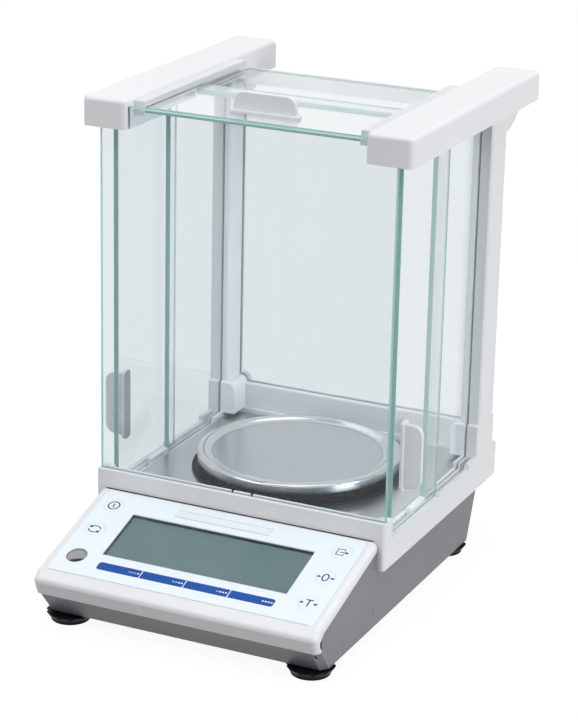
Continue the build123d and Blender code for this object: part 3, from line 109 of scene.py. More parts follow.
class Effects:
    """Builds each shared shader effect once and hands it out."""

    GRAIN_DETAIL = 3.0
    BRUSH_DETAIL = 4.0
    BRUSH_STRETCH = (25.0, 2400.0, 2400.0)

    def __init__(self) -> None:
        """Starts with no group built."""
        self.groups: dict[Texture, bpy.types.NodeTree] = {}

    def get(self, kind: Texture) -> bpy.types.NodeTree:
        """Gives a group, building it on first use.

        Args:
            kind: The effect that is wanted.

        Returns:
            The node group.
        """
        if kind not in self.groups:
            builders = {Texture.MOULDED: self.moulded, Texture.BRUSHED: self.brushed, Texture.TURNED: self.turned}
            self.groups[kind] = builders[kind]()
        return self.groups[kind]

    @staticmethod
    def sockets(name: str, inputs: dict[str, float]) -> bpy.types.NodeTree:
        """Makes an empty group with a Vector input, number inputs, and Tone and Height outputs.

        Args:
            name: The group's name.
            inputs: Number inputs with their defaults.

        Returns:
            The new group with its input and output nodes.
        """
        tree = bpy.data.node_groups.new(name, "ShaderNodeTree")
        tree.interface.new_socket("Vector", in_out="INPUT", socket_type="NodeSocketVector")
        for label, value in inputs.items():
            made = tree.interface.new_socket(label, in_out="INPUT", socket_type="NodeSocketFloat")
            made.default_value = value
        for label in ("Tone", "Height"):
            tree.interface.new_socket(label, in_out="OUTPUT", socket_type="NodeSocketFloat")
        tree.nodes.new("NodeGroupInput").name = "in"
        tree.nodes.new("NodeGroupOutput").name = "out"
        return tree

    @staticmethod
    def close(tree: bpy.types.NodeTree, pattern: bpy.types.Node) -> bpy.types.NodeTree:
        """Adds the slow drift in tone that every effect has and joins the outputs.

        Args:
            tree: The group.
            pattern: The noise that makes the effect's height.

        Returns:
            The finished group.
        """
        entry, leave = tree.nodes["in"], tree.nodes["out"]
        drift = tree.nodes.new("ShaderNodeTexNoise")
        wire(tree, (entry, "Vector", drift, "Vector"), (entry, "Drift", drift, "Scale"),
             (drift, "Fac", leave, "Tone"), (pattern, "Fac", leave, "Height"))
        return tree

    def moulded(self) -> bpy.types.NodeTree:
        """Makes the fine spark-eroded grain of moulded plastic.

        Returns:
            The node group.
        """
        tree = self.sockets("moulded_skin", {"Grain": 2600.0, "Drift": 14.0})
        entry = tree.nodes["in"]
        grain = fill(tree.nodes.new("ShaderNodeTexNoise"), {"Detail": self.GRAIN_DETAIL})
        wire(tree, (entry, "Vector", grain, "Vector"), (entry, "Grain", grain, "Scale"))
        return self.close(tree, grain)

    def brushed(self) -> bpy.types.NodeTree:
        """Makes long fine scratches along X, for sheet steel.

        Returns:
            The node group.
        """
        tree = self.sockets("brushed_lines", {"Grain": 1.0, "Drift": 9.0})
        entry = tree.nodes["in"]
        stretch = fill(tree.nodes.new("ShaderNodeMapping"), {"Scale": self.BRUSH_STRETCH})
        lines = fill(tree.nodes.new("ShaderNodeTexNoise"), {"Detail": self.BRUSH_DETAIL})
        wire(tree, (entry, "Vector", stretch, "Vector"), (stretch, "Vector", lines, "Vector"),
             (entry, "Grain", lines, "Scale"))
        return self.close(tree, lines)

    def turned(self) -> bpy.types.NodeTree:
        """Makes fine rings round an upright axis, for a spun or turned face.

        Returns:
            The node group.
        """
        tree = self.sockets("turned_rings", {"Grain": 1400.0, "Drift": 7.0})
        entry = tree.nodes["in"]
        flat = fill(tree.nodes.new("ShaderNodeVectorMath"), {1: (1.0, 1.0, 0.0)})
        flat.operation = "MULTIPLY"
        radius = tree.nodes.new("ShaderNodeVectorMath")
        radius.operation = "LENGTH"
        rings = tree.nodes.new("ShaderNodeTexNoise")
        rings.noise_dimensions = "1D"
        fill(rings, {"Detail": self.GRAIN_DETAIL})
        wire(tree, (entry, "Vector", flat, 0), (flat, "Vector", radius, 0), (radius, "Value", rings, "W"),
             (entry, "Grain", rings, "Scale"))
        return self.close(tree, rings)


@dataclass(frozen=True)
class Finish:
    """A plastic, rubber, metal or ink finish.

    Tone varies the colour between dark and light; the effect's height drives the bump. A finish with a
    painted_low_shade colour paints shade: it blends from that darker colour to the plain one between the two
    heights in rise.
    """

    name: str
    light: Colour
    dark: Colour
    roughness: tuple[float, float] = (0.35, 0.5)
    metallic: float = 0.0
    bump: float = 0.05
    texture: Texture = Texture.MOULDED
    grain: float = 2600.0
    drift: float = 14.0
    centre: Point = (0.0, 0.0, 0.0)
    coat: float = 0.0
    specular: float = 0.5
    # painted shade: a darker colour painted low on the part
    painted_low_shade: Colour | None = None
    rise: tuple[float, float] = (0.0, 1.0)
    stops: tuple[float, float] = (0.3, 0.7)
    bump_depth: float = 0.0002
    coat_roughness: float = 0.08

    def shaded(self, tree: bpy.types.NodeTree, place: bpy.types.Node,
               colour: bpy.types.NodeSocket) -> bpy.types.NodeSocket:
        """Paints shade: blends from the painted_low_shade colour at the lower height to the plain one at the
        upper.

        Args:
            tree: The material's tree.
            place: The texture coordinates.
            colour: The plain colour.

        Returns:
            The blended colour.
        """
        # Painted shade: the colour darkens towards the lower height.
        split = tree.nodes.new("ShaderNodeSeparateXYZ")
        height = tree.nodes.new("ShaderNodeMapRange")
        height.interpolation_type = "SMOOTHSTEP"
        fill(height, {"From Min": self.rise[0], "From Max": self.rise[1]})
        blend = tree.nodes.new("ShaderNodeMix")
        blend.data_type = "RGBA"
        fill(blend, {6: (*self.painted_low_shade, 1.0)})
        wire(tree, (place, "Object", split, "Vector"), (split, "Z", height, "Value"), (height, "Result", blend, 0))
        tree.links.new(colour, blend.inputs[7])
        return blend.outputs[2]

    def toned(self, tree: bpy.types.NodeTree, place: bpy.types.Node,
              effect: bpy.types.Node) -> bpy.types.NodeSocket:
        """Turns the effect's tone into the finish's colour.

        Args:
            tree: The material's tree.
            place: The texture coordinates.
            effect: The effect's node.

        Returns:
            The colour.
        """
        ramp = tree.nodes.new("ShaderNodeValToRGB")
        for stop, position, colour in zip(ramp.color_ramp.elements, self.stops, (self.dark, self.light)):
            stop.position = position
            stop.color = (*colour, 1.0)
        tree.links.new(effect.outputs["Tone"], ramp.inputs["Fac"])
        colour = ramp.outputs["Color"]
        return colour if self.painted_low_shade is None else self.shaded(tree, place, colour)

    def build(self, effects: Effects) -> bpy.types.Material:
        """Makes the material.

        Args:
            effects: The store of shared effects.

        Returns:
            The finished material.
        """
        material = bpy.data.materials.new(self.name)
        material.use_nodes = True
        tree = material.node_tree
        shader = tree.nodes["Principled BSDF"]
        place = tree.nodes.new("ShaderNodeTexCoord")
        shift = fill(tree.nodes.new("ShaderNodeMapping"), {"Location": tuple(-c for c in self.centre)})
        effect = tree.nodes.new("ShaderNodeGroup")
        effect.node_tree = effects.get(self.texture)
        fill(effect, {"Grain": self.grain, "Drift": self.drift})
        rough = fill(tree.nodes.new("ShaderNodeMapRange"),
                     {"To Min": self.roughness[0], "To Max": self.roughness[1]})
        bump = fill(tree.nodes.new("ShaderNodeBump"), {"Strength": self.bump, "Distance": self.bump_depth})
        fill(shader, {"Metallic": self.metallic, "Coat Weight": self.coat, "Coat Roughness": self.coat_roughness,
                      "Specular IOR Level": self.specular})
        wire(tree, (place, "Object", shift, "Vector"), (shift, "Vector", effect, "Vector"),
             (effect, "Height", rough, "Value"), (rough, "Result", shader, "Roughness"),
             (effect, "Height", bump, "Height"), (bump, "Normal", shader, "Normal"))
        tree.links.new(self.toned(tree, place, effect), shader.inputs["Base Color"])
        return material


@dataclass(frozen=True)
class ClearFinish:
    """Clear glass or plastic that lets the lamps through; faint smears drift over its tint."""

    name: str
    colour: Colour
    roughness: float = 0.0
    ior: float = 1.5
    transmission: float = 1.0
    shadow: Colour = (0.93, 0.95, 0.95)
    grain: float = 60.0
    drift: float = 8.0
    smear: float = 0.985
    stops: tuple[float, float] = (0.2, 0.8)

    def build(self, effects: Effects) -> bpy.types.Material:
        """Makes the material.

        Args:
            effects: The store of shared effects, for the faint smears.

        Returns:
            The finished material.
        """
        material = bpy.data.materials.new(self.name)
        material.use_nodes = True
        tree = material.node_tree
        shader = tree.nodes["Principled BSDF"]
        output = tree.nodes["Material Output"]
        place = tree.nodes.new("ShaderNodeTexCoord")
        effect = tree.nodes.new("ShaderNodeGroup")
        effect.node_tree = effects.get(Texture.MOULDED)
        fill(effect, {"Grain": self.grain, "Drift": self.drift})
        tint = tree.nodes.new("ShaderNodeValToRGB")
        for stop, position, share in zip(tint.color_ramp.elements, self.stops, (self.smear, 1.0)):
            stop.position = position
            stop.color = (*(c * share for c in self.colour), 1.0)
        fill(shader, {"Roughness": self.roughness, "IOR": self.ior, "Transmission Weight": self.transmission})
        rays = tree.nodes.new("ShaderNodeLightPath")
        through = fill(tree.nodes.new("ShaderNodeBsdfTransparent"), {"Color": (*self.shadow, 1.0)})
        mix = tree.nodes.new("ShaderNodeMixShader")
        wire(tree, (place, "Object", effect, "Vector"), (effect, "Tone", tint, "Fac"),
             (tint, "Color", shader, "Base Color"), (rays, "Is Shadow Ray", mix, "Fac"),
             (shader, "BSDF", mix, 1), (through, "BSDF", mix, 2), (mix, "Shader", output, "Surface"))
        return material


PAN_CENTRE = (0.0, 0.02625, 0.0)

WHITE = Finish("white_plastic", (0.80, 0.81, 0.83), (0.765, 0.775, 0.795), (0.32, 0.46), bump=0.04)
WHITE_GUIDE = Finish("white_guide_plastic", (0.74, 0.755, 0.77), (0.70, 0.715, 0.73), (0.4, 0.55), bump=0.05)
GREY = Finish("grey_plastic", (0.184, 0.192, 0.206), (0.168, 0.176, 0.190), (0.38, 0.55), bump=0.09)
BLACK = Finish("black_plastic", (0.006, 0.007, 0.009), (0.004, 0.005, 0.006), (0.34, 0.5), bump=0.08,
               specular=0.1)
RUBBER = Finish("foot_rubber", (0.010, 0.010, 0.012), (0.007, 0.007, 0.008), (0.6, 0.8), bump=0.15, specular=0.15)
SHEET = Finish("pale_key_sheet", (0.83, 0.905, 0.97), (0.815, 0.89, 0.955), (0.28, 0.36), bump=0.02, coat=0.15)
DISPLAY = Finish("display_face", (0.088, 0.142, 0.150), (0.082, 0.133, 0.140), (0.3, 0.36), bump=0.01,
                 specular=0.1)
BLUE_INK = Finish("blue_ink", (0.007, 0.080, 0.38), (0.006, 0.074, 0.355), (0.3, 0.38), bump=0.01,
                  specular=0.2)
NAVY_INK = Finish("navy_ink", (0.010, 0.040, 0.19), (0.009, 0.037, 0.18), (0.3, 0.38), bump=0.01, specular=0.2)
DARK_INK = Finish("dark_ink", (0.016, 0.019, 0.025), (0.013, 0.016, 0.021), (0.3, 0.4), bump=0.01, specular=0.2)
WHITE_INK = Finish("white_ink", (0.85, 0.87, 0.88), (0.82, 0.84, 0.85), (0.3, 0.38), bump=0.01)
LABEL = Finish("blank_label", (0.80, 0.86, 0.90), (0.77, 0.83, 0.87), (0.22, 0.3), bump=0.02, coat=0.3)
LINE = Finish("grey_line", (0.42, 0.45, 0.48), (0.38, 0.41, 0.44), (0.3, 0.4), bump=0.01)
# Painted shade: the dark grey of the ring round the level's cap.
SHADE = Finish("grey_painted_shade", (0.10, 0.10, 0.11), (0.09, 0.09, 0.10), (0.3, 0.4), bump=0.01)
VIAL = Finish("level_disc", (0.30, 0.31, 0.33), (0.27, 0.28, 0.30), (0.2, 0.3), bump=0.01, coat=0.4)
STEEL = Finish("brushed_steel", (0.58, 0.59, 0.61), (0.53, 0.54, 0.56), (0.26, 0.36), 1.0, 0.05,
               Texture.BRUSHED, 1.0, 9.0)
# Painted shade on the pan's rim: it darkens down its skirt to painted_low_shade between the rise heights.
PAN_RIM = Finish("polished_steel", (0.74, 0.745, 0.755), (0.66, 0.665, 0.675), (0.10, 0.16), 1.0, 0.02,
                 Texture.TURNED, 900.0, 6.0, PAN_CENTRE, painted_low_shade=(0.05, 0.054, 0.062), rise=(0.0622, 0.0668))
PAN_FACE = Finish("turned_steel", (0.60, 0.61, 0.63), (0.57, 0.58, 0.60), (0.24, 0.27), 1.0, 0.008,
                  Texture.TURNED, 1800.0, 6.0, PAN_CENTRE)
SCREW = Finish("screw_steel", (0.55, 0.55, 0.56), (0.48, 0.48, 0.49), (0.25, 0.4), 1.0, 0.05)
BRASS = Finish("turned_brass", (0.62, 0.45, 0.18), (0.55, 0.40, 0.16), (0.25, 0.35), 1.0, 0.05)
CASTING = Finish("cast_aluminium", (0.52, 0.53, 0.54), (0.45, 0.46, 0.47), (0.4, 0.6), 1.0, 0.3, grain=700.0)
BOARD = Finish("circuit_board", (0.02, 0.12, 0.05), (0.015, 0.09, 0.04), (0.35, 0.5), bump=0.05)
GLASS = ClearFinish("shield_glass", (0.885, 0.912, 0.922))
# Painted shade and painted light: one glass in tints, darker at the front and right, paler at the rear and left.
GLASS_PAINTED_DEEP_SHADE = ClearFinish("shield_glass_painted_deep_shade", (0.75, 0.80, 0.823), ior=1.36)
GLASS_PAINTED_SHADE = ClearFinish("shield_glass_painted_shade", (0.80, 0.838, 0.855), ior=1.36)
GLASS_PAINTED_LIGHT = ClearFinish("shield_glass_painted_light", (0.955, 0.967, 0.972), ior=1.36)
EDGE = ClearFinish("glass_edge", (0.36, 0.66, 0.62), 0.22, 1.5, 0.35, (0.6, 0.75, 0.72))
WINDOW = ClearFinish("clear_plastic", (0.93, 0.95, 0.95), 0.12, 1.3)


class Paint:
    """Keeps one material per finish."""

    def __init__(self) -> None:
        """Starts with no material built."""
        self.effects = Effects()
        self.made: dict[str, bpy.types.Material] = {}

    def of(self, finish: Finish | ClearFinish) -> bpy.types.Material:
        """Gives the material of a finish, building it on first use.

        Args:
            finish: The finish that is wanted.

        Returns:
            Its material.
        """
        if finish.name not in self.made:
            self.made[finish.name] = finish.build(self.effects)
        return self.made[finish.name]

    def coat(self, node: str, finish: Finish | ClearFinish, bevel: float = 0.0) -> None:
        """Dresses a carried CAD node.

        Args:
            node: The node's name.
            finish: What it is made of.
            bevel: Width of softened edges, in millimetres; 0 leaves them.
        """
        piece = FRAME["nodes"][node]
        piece.data.materials.clear()
        piece.data.materials.append(self.of(finish))
        if bevel:
            soften(piece, bevel)


def soften(piece: bpy.types.Object, width: float) -> None:
    """Rounds a piece's sharp edges.

    Args:
        piece: The object.
        width: Width of the round, in millimetres.
    """
    bevel = piece.modifiers.new("soft_edges", "BEVEL")
    bevel.width = width * MM
    bevel.segments = BEVEL_SEGMENTS
    bevel.limit_method = "ANGLE"
    bevel.angle_limit = math.radians(BEVEL_ANGLE)


def new_piece(name: str, mesh: bmesh.types.BMesh, finishes: Sequence[bpy.types.Material], body: str) -> bpy.types.Object:
    """Turns a mesh into a piece that rides on a body.

    Args:
        name: The piece's name.
        mesh: The mesh, in metres in the row frame; it is freed here.
        finishes: Materials in slot order.
        body: The CAD body it rides on.

    Returns:
        The new object.
    """
    bmesh.ops.recalc_face_normals(mesh, faces=mesh.faces[:])
    data = bpy.data.meshes.new(name)
    mesh.to_mesh(data)
    mesh.free()
    for finish in finishes:
        data.materials.append(finish)
    piece = bpy.data.objects.new(name, data)
    bpy.context.scene.collection.objects.link(piece)
    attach(piece, body)
    LOG.info("piece %s on %s", name, body)
    return piece


def lathe(centre: Flat, profile: Sequence[Flat], steps: int = 48) -> bmesh.types.BMesh:
    """Spins a profile round an upright axis.

    Args:
        centre: The axis, in millimetres.
        profile: (radius, height) points from bottom to top; the first and last lie on the axis.
        steps: Number of sides.

    Returns:
        The closed mesh.
    """
    mesh = bmesh.new()
    rows: list[list[bmesh.types.BMVert]] = []
    for radius, height in profile:
        if radius == 0:
            rows.append([mesh.verts.new(Vector((centre[0], centre[1], height)) * MM)])
            continue
        rows.append([mesh.verts.new(Vector((centre[0] + radius * math.cos(a), centre[1] + radius * math.sin(a),
                                            height)) * MM)
                     for a in (2 * math.pi * i / steps for i in range(steps))])
    for lower, upper in zip(rows, rows[1:]):
        for i in range(steps):
            j = (i + 1) % steps
            ring = [lower[i % len(lower)], lower[j % len(lower)], upper[j % len(upper)], upper[i % len(upper)]]
            unique = list(dict.fromkeys(ring))
            if len(unique) > 2:
                mesh.faces.new(unique).smooth = True
    return mesh


@dataclass
class Sheetwork:
    """Builds flat print on a plane: strokes, discs and plates with a small real thickness.

    Points are (u, v) in millimetres on the plane; place turns (u, v, height) into the row frame.
    """

    place: Callable[[float, float, float], Vector]
    base: float = 0.0
    thick: float = 0.04
    mesh: bmesh.types.BMesh = field(default_factory=bmesh.new)
    corner_steps: int = 8
    arc_step: float = 12.0
    arc_least: int = 6
    least_shaft: float = 0.05
    barb: float = 0.55

    def plate(self, outline: Sequence[Flat]) -> None:
        """Adds a thin plate.

        Args:
            outline: Its flat outline, counter-clockwise.
        """
        low = [self.mesh.verts.new(self.place(u, v, self.base)) for u, v in outline]
        high = [self.mesh.verts.new(self.place(u, v, self.base + self.thick)) for u, v in outline]
        self.mesh.faces.new(high)
        self.mesh.faces.new(low[::-1])
        for i in range(len(outline)):
            j = (i + 1) % len(outline)
            self.mesh.faces.new((low[i], low[j], high[j], high[i]))

    def disc(self, u: float, v: float, radius: float, steps: int = 32) -> None:
        """Adds a round plate.

        Args:
            u: Centre along the sheet.
            v: Centre up the sheet.
            radius: Its radius.
            steps: Number of sides.
        """
        self.plate([(u + radius * math.cos(a), v + radius * math.sin(a))
                    for a in (2 * math.pi * i / steps for i in range(steps))])

    def rounded(self, u0: float, u1: float, v0: float, v1: float, radii: Sequence[float]) -> None:
        """Adds a plate with rounded corners.

        Args:
            u0: Left edge.
            u1: Right edge.
            v0: Lower edge.
            v1: Upper edge.
            radii: Corner radii, from the lower left one, counter-clockwise.
        """
        corners = [(u0, v0, 180), (u1, v0, 270), (u1, v1, 0), (u0, v1, 90)]
        outline = []
        for (u, v, start), radius in zip(corners, radii):
            cu = u + radius if u == u0 else u - radius
            cv = v + radius if v == v0 else v - radius
            count = self.corner_steps if radius > 0 else 0
            for step in range(count + 1):
                angle = math.radians(start + 90 * (step / count if count else 0))
                outline.append((cu + radius * math.cos(angle), cv + radius * math.sin(angle)))
        self.plate(outline)

    def stroke(self, points: Sequence[Flat], width: float, closed: bool = False) -> None:
        """Adds a line whose straight parts share their corners.

        Args:
            points: The line's points.
            width: Its width.
            closed: Joins the last point to the first.
        """
        count = len(points)
        sides: list[tuple[Flat, Flat]] = []
        for i, (u, v) in enumerate(points):
            before = points[(i - 1) % count] if closed or i > 0 else points[i]
            after = points[(i + 1) % count] if closed or i < count - 1 else points[i]
            along = Vector((after[0] - before[0], after[1] - before[1]))
            along.normalize()
            nu, nv = -along.y * width / 2, along.x * width / 2
            sides.append(((u + nu, v + nv), (u - nu, v - nv)))
        for i in range(count if closed else count - 1):
            j = (i + 1) % count
            self.plate([sides[i][0], sides[i][1], sides[j][1], sides[j][0]])

    def arc(self, u: float, v: float, radius: float, start: float, end: float, width: float,
            squash: float = 1.0) -> None:
        """Adds part of a ring.

        Args:
            u: Centre along the sheet.
            v: Centre up the sheet.
            radius: Radius of the line's middle.
            start: Where it begins, in degrees.
            end: Where it ends, in degrees; a full turn closes it.
            width: The line's width.
            squash: Height over width of the ring.
        """
        steps = max(self.arc_least, int(abs(end - start) / self.arc_step))
        full = abs(end - start) >= 360
        angles = [math.radians(start + (end - start) * i / steps) for i in range(steps + (0 if full else 1))]
        self.stroke([(u + radius * math.cos(a), v + radius * squash * math.sin(a)) for a in angles], width, full)

    def arrow(self, tail: Flat, tip: Flat, width: float, head: float) -> None:
        """Adds an arrow with a filled head.

        Args:
            tail: Where it starts.
            tip: Where it points.
            width: The shaft's width.
            head: Length of the head.
        """
        along = Vector((tip[0] - tail[0], tip[1] - tail[1]))
        along.normalize()
        neck = (tip[0] - along.x * head, tip[1] - along.y * head)
        if (Vector(tail) - Vector(neck)).length > self.least_shaft:
            self.stroke([tail, neck], width)
        half = head * self.barb
        self.plate([tip, (neck[0] - along.y * half, neck[1] + along.x * half),
                    (neck[0] + along.y * half, neck[1] - along.x * half)])


@dataclass
class KeySigns:
    """The signs on the round keys; lengths in millimetres from each key's centre."""

    fine: float = 0.65
    bold: float = 0.8
    power_line: float = 0.75
    power_ring: float = 3.3
    power_bar: float = 1.6
    loop: float = 3.6
    loop_squash: float = 0.76
    loop_shift: float = 0.5
    loop_arc: Flat = (15.0, 148.0)
    loop_tip: float = 150.0
    loop_tail: Flat = (0.7, 0.9)
    loop_point: Flat = (0.45, 1.0)
    loop_shaft: float = 0.45
    loop_head: float = 2.1
    box: tuple[float, float, float] = (-3.0, 1.2, 2.5)
    box_mouth: float = 1.3
    box_arrow: Flat = (-1.3, 4.0)
    head: float = 1.9
    oval: float = 1.7
    oval_squash: float = 1.62
    reach: Flat = (5.2, 2.6)
    tee_bar: Flat = (2.1, 2.6)
    tee_stem: Flat = (2.5, -2.7)

    def power(self, work: Sheetwork, u: float, v: float) -> None:
        """A ring with an upright bar."""
        work.arc(u, v, self.power_ring, 0, 360, self.power_line)
        work.stroke([(u, v - self.power_bar), (u, v + self.power_bar)], self.power_line)

    def menu(self, work: Sheetwork, u: float, v: float) -> None:
        """Two arrows that chase each other round a loop.

        Args:
            work: Where the sign is drawn.
            u: The key's centre along the sheet.
            v: The key's centre up the sheet.
        """
        u -= self.loop_shift
        angle = math.radians(self.loop_tip)
        tip = (self.loop * math.cos(angle), self.loop * self.loop_squash * math.sin(angle))
        for turn, sign in ((0, 1), (180, -1)):
            work.arc(u, v, self.loop, self.loop_arc[0] + turn, self.loop_arc[1] + turn, self.fine,
                     self.loop_squash)
            work.arrow((u + sign * (tip[0] + self.loop_tail[0]), v + sign * (tip[1] + self.loop_tail[1])),
                       (u + sign * (tip[0] - self.loop_point[0]), v + sign * (tip[1] - self.loop_point[1])),
                       self.loop_shaft, self.loop_head)

    def output(self, work: Sheetwork, u: float, v: float) -> None:
        """A box open on one side, with an arrow that leaves it.

        Args:
            work: Where the sign is drawn.
            u: The key's centre along the sheet.
            v: The key's centre up the sheet.
        """
        left, right, half = self.box
        work.stroke([(u + right, v + self.box_mouth), (u + right, v + half), (u + left, v + half),
                     (u + left, v - half), (u + right, v - half), (u + right, v - self.box_mouth)], self.fine)
        work.arrow((u + self.box_arrow[0], v), (u + self.box_arrow[1], v), self.fine, self.head)

    def inward(self, work: Sheetwork, u: float, v: float) -> None:
        """Two arrows that point at the middle from both sides."""
        for sign in (-1, 1):
            work.arrow((u + sign * self.reach[0], v), (u + sign * self.reach[1], v), self.fine, self.head)

    def zero(self, work: Sheetwork, u: float, v: float) -> None:
        """An oval between two arrows."""
        work.arc(u, v, self.oval, 0, 360, self.bold, self.oval_squash)
        self.inward(work, u, v)

    def tare(self, work: Sheetwork, u: float, v: float) -> None:
        """An upright with a cross bar between two arrows."""
        half, top = self.tee_bar
        work.stroke([(u - half, v + top), (u + half, v + top)], self.bold)
        work.stroke([(u, v + self.tee_stem[0]), (u, v + self.tee_stem[1])], self.bold)
        self.inward(work, u, v)


@dataclass
class KeyPanel:
    """The sloping key sheet with its print; lengths in millimetres, v measured down from the tray."""

    slope: float = 16.9
    front_of_tray: float = -54.35
    height: float = 56.3
    soft: float = 0.5
    bar: tuple[float, float, float, float] = (-54.2, 53.4, 61.9, 68.1)
    bar_parts: int = 4
    bar_gap: float = 0.55
    bar_round: float = 1.6
    dot: float = 0.62
    dot_sides: int = 14
    dots: int = 4
    dot_pitch: float = 1.75
    dot_inset: float = 1.4
    dot_base: float = 0.03
    label: tuple[float, float, float, float] = (-32.5, 25.8, 7.5, 13.2)
    label_round: float = 0.8
    label_thick: float = 0.12
    label_edge: Flat = (0.3, 0.14)
    window: tuple[float, float, float, float] = (-56.5, 56.5, 18.4, 55.7)
    window_out: float = 0.55
    window_line: Flat = (0.7, 0.03)
    # A black band inside the display's opening, low in its recess: painted shade from the recess's walls.
    recess_shade_base: float = -2.24
    recess_shade_line: Flat = (1.0, 0.1)
    sheet: tuple[float, float, float] = (-79.0, 79.0, 75.7)
    sheet_line: Flat = (0.35, 0.03)
    level: tuple[float, float, float] = (-69.9, 60.6, 6.0)
    level_out: float = 0.42
    level_line: Flat = (0.8, 0.04)
    signs: KeySigns = field(default_factory=KeySigns)
    keys: dict[str, Flat] = field(default_factory=lambda: {
        "power": (-71.0, 14.4), "menu": (-71.0, 36.8), "output": (71.0, 14.4),
        "zero": (71.0, 36.8), "tare": (71.0, 59.2)})

    def place(self, u: float, v: float, h: float) -> Vector:
        """Turns a place on the sheet into the row frame.

        Args:
            u: Along the sheet.
            v: Up the sheet, from the tray.
            h: Over the sheet.

        Returns:
            The point, in metres.
        """
        angle = math.radians(self.slope)
        y = self.front_of_tray + v * math.cos(angle) - h * math.sin(angle)
        z = self.height + v * math.sin(angle) + h * math.cos(angle)
        return Vector((u, y, z)) * MM

    def build(self, paint: Paint) -> None:
        """Builds the print and dresses the console's nodes.

        Args:
            paint: The store of materials.
        """
        paint.coat("console_cover", WHITE, self.soft)
        paint.coat("membrane_overlay", SHEET)
        paint.coat("lcd_module", DISPLAY)
        paint.coat("lcd_window", WINDOW)
        paint.coat("display_board", BOARD)
        for name in self.keys:
            paint.coat("key_" + name, SHEET)
        self.front_line(paint)
        # Painted shade: a black band round the inside of the display's recess.
        recess_shade = self.framed(-self.recess_shade_line[0] / 2, self.recess_shade_line, self.recess_shade_base)
        new_piece("display_recess_shade", recess_shade.mesh, [paint.of(BLACK)], "base")
        self.progress_bar(paint)
        self.blank_label(paint)
        self.printed("panel_window_line", self.framed(self.window_out, self.window_line), paint.of(WHITE_INK))
        self.symbols(paint)

    def printed(self, name: str, work: Sheetwork, ink: bpy.types.Material) -> None:
        """Makes a piece of print that stays with the base."""
        new_piece(name, work.mesh, [ink], "base")

    def framed(self, grow: float, line: Flat, base: float = 0.0) -> Sheetwork:
        """Draws a line round the display.

        Args:
            grow: How far outside the opening it runs.
            line: Its width and thickness.
            base: Its height over the sheet.

        Returns:
            The print.
        """
        u0, u1, v0, v1 = self.window
        width, thick = line
        work = Sheetwork(self.place, base, thick)
        work.stroke([(u0 - grow, -v0 + grow), (u1 + grow, -v0 + grow), (u1 + grow, -v1 - grow),
                     (u0 - grow, -v1 - grow)], width, closed=True)
        return work

    def front_line(self, paint: Paint) -> None:
        """Builds the thin grey line along the sheet's front edge and the rim round the level's hole.

        Args:
            paint: The store of materials.
        """
        u0, u1, v1 = self.sheet
        width, thick = self.sheet_line
        work = Sheetwork(self.place, thick=thick)
        work.stroke([(u0, -v1), (u1, -v1)], width)
        self.printed("panel_front_line", work, paint.of(LINE))
        u, v, radius = self.level
        width, thick = self.level_line
        rim = Sheetwork(self.place, thick=thick)
        rim.arc(u, -v, radius + self.level_out, 0, 360, width)
        self.printed("panel_level_rim", rim, paint.of(WHITE_INK))

    def progress_bar(self, paint: Paint) -> None:
        """Builds the blue bar in its parts, with a row of dots at the end of each.

        One dot more is white in each part from left to right; the others are grey.

        Args:
            paint: The store of materials.
        """
        u0, u1, v0, v1 = self.bar
        work = Sheetwork(self.place)
        dots = Sheetwork(self.place, self.dot_base)
        pale = Sheetwork(self.place, self.dot_base)
        pitch = (u1 - u0) / self.bar_parts
        last = self.bar_parts - 1
        for i in range(self.bar_parts):
            left = u0 + pitch * i + (self.bar_gap / 2 if i else 0)
            right = u0 + pitch * (i + 1) - (self.bar_gap / 2 if i < last else 0)
            a = self.bar_round if i == 0 else 0.0
            b = self.bar_round if i == last else 0.0
            work.rounded(left, right, -v1, -v0, (a, b, b, a))
            for j in range(self.dots):
                u = right - self.dot_inset - (self.dots - 1 - j) * self.dot_pitch
                row = dots if j >= self.dots - 1 - i else pale
                row.disc(u, -(v0 + v1) / 2, self.dot, self.dot_sides)
        self.printed("panel_bar", work, paint.of(BLUE_INK))
        self.printed("panel_bar_dots", dots, paint.of(WHITE_INK))
        self.printed("panel_bar_pale_dots", pale, paint.of(LINE))

    def blank_label(self, paint: Paint) -> None:
        """Builds the blank label plate over the display.

        Args:
            paint: The store of materials.
        """
        u0, u1, v0, v1 = self.label
        work = Sheetwork(self.place, thick=self.label_thick)
        work.rounded(u0, u1, -v1, -v0, (self.label_round,) * 4)
        self.printed("panel_label", work, paint.of(LABEL))
        width, thick = self.label_edge
        edge = Sheetwork(self.place, thick=thick)
        edge.stroke([(u0, -v0), (u1, -v0), (u1, -v1), (u0, -v1)], width, closed=True)
        self.printed("panel_label_edge", edge, paint.of(LINE))

    def symbols(self, paint: Paint) -> None:
        """Builds the symbol on each key.

        Args:
            paint: The store of materials.
        """
        painters = {
            "power": (self.signs.power, NAVY_INK), "menu": (self.signs.menu, DARK_INK),
            "output": (self.signs.output, DARK_INK), "zero": (self.signs.zero, NAVY_INK),
            "tare": (self.signs.tare, NAVY_INK)}
        for name, (u, v) in self.keys.items():
            draw, ink = painters[name]
            work = Sheetwork(self.place)
            draw(work, u, -v)
            new_piece("symbol_" + name, work.mesh, [paint.of(ink)], "key_" + name)


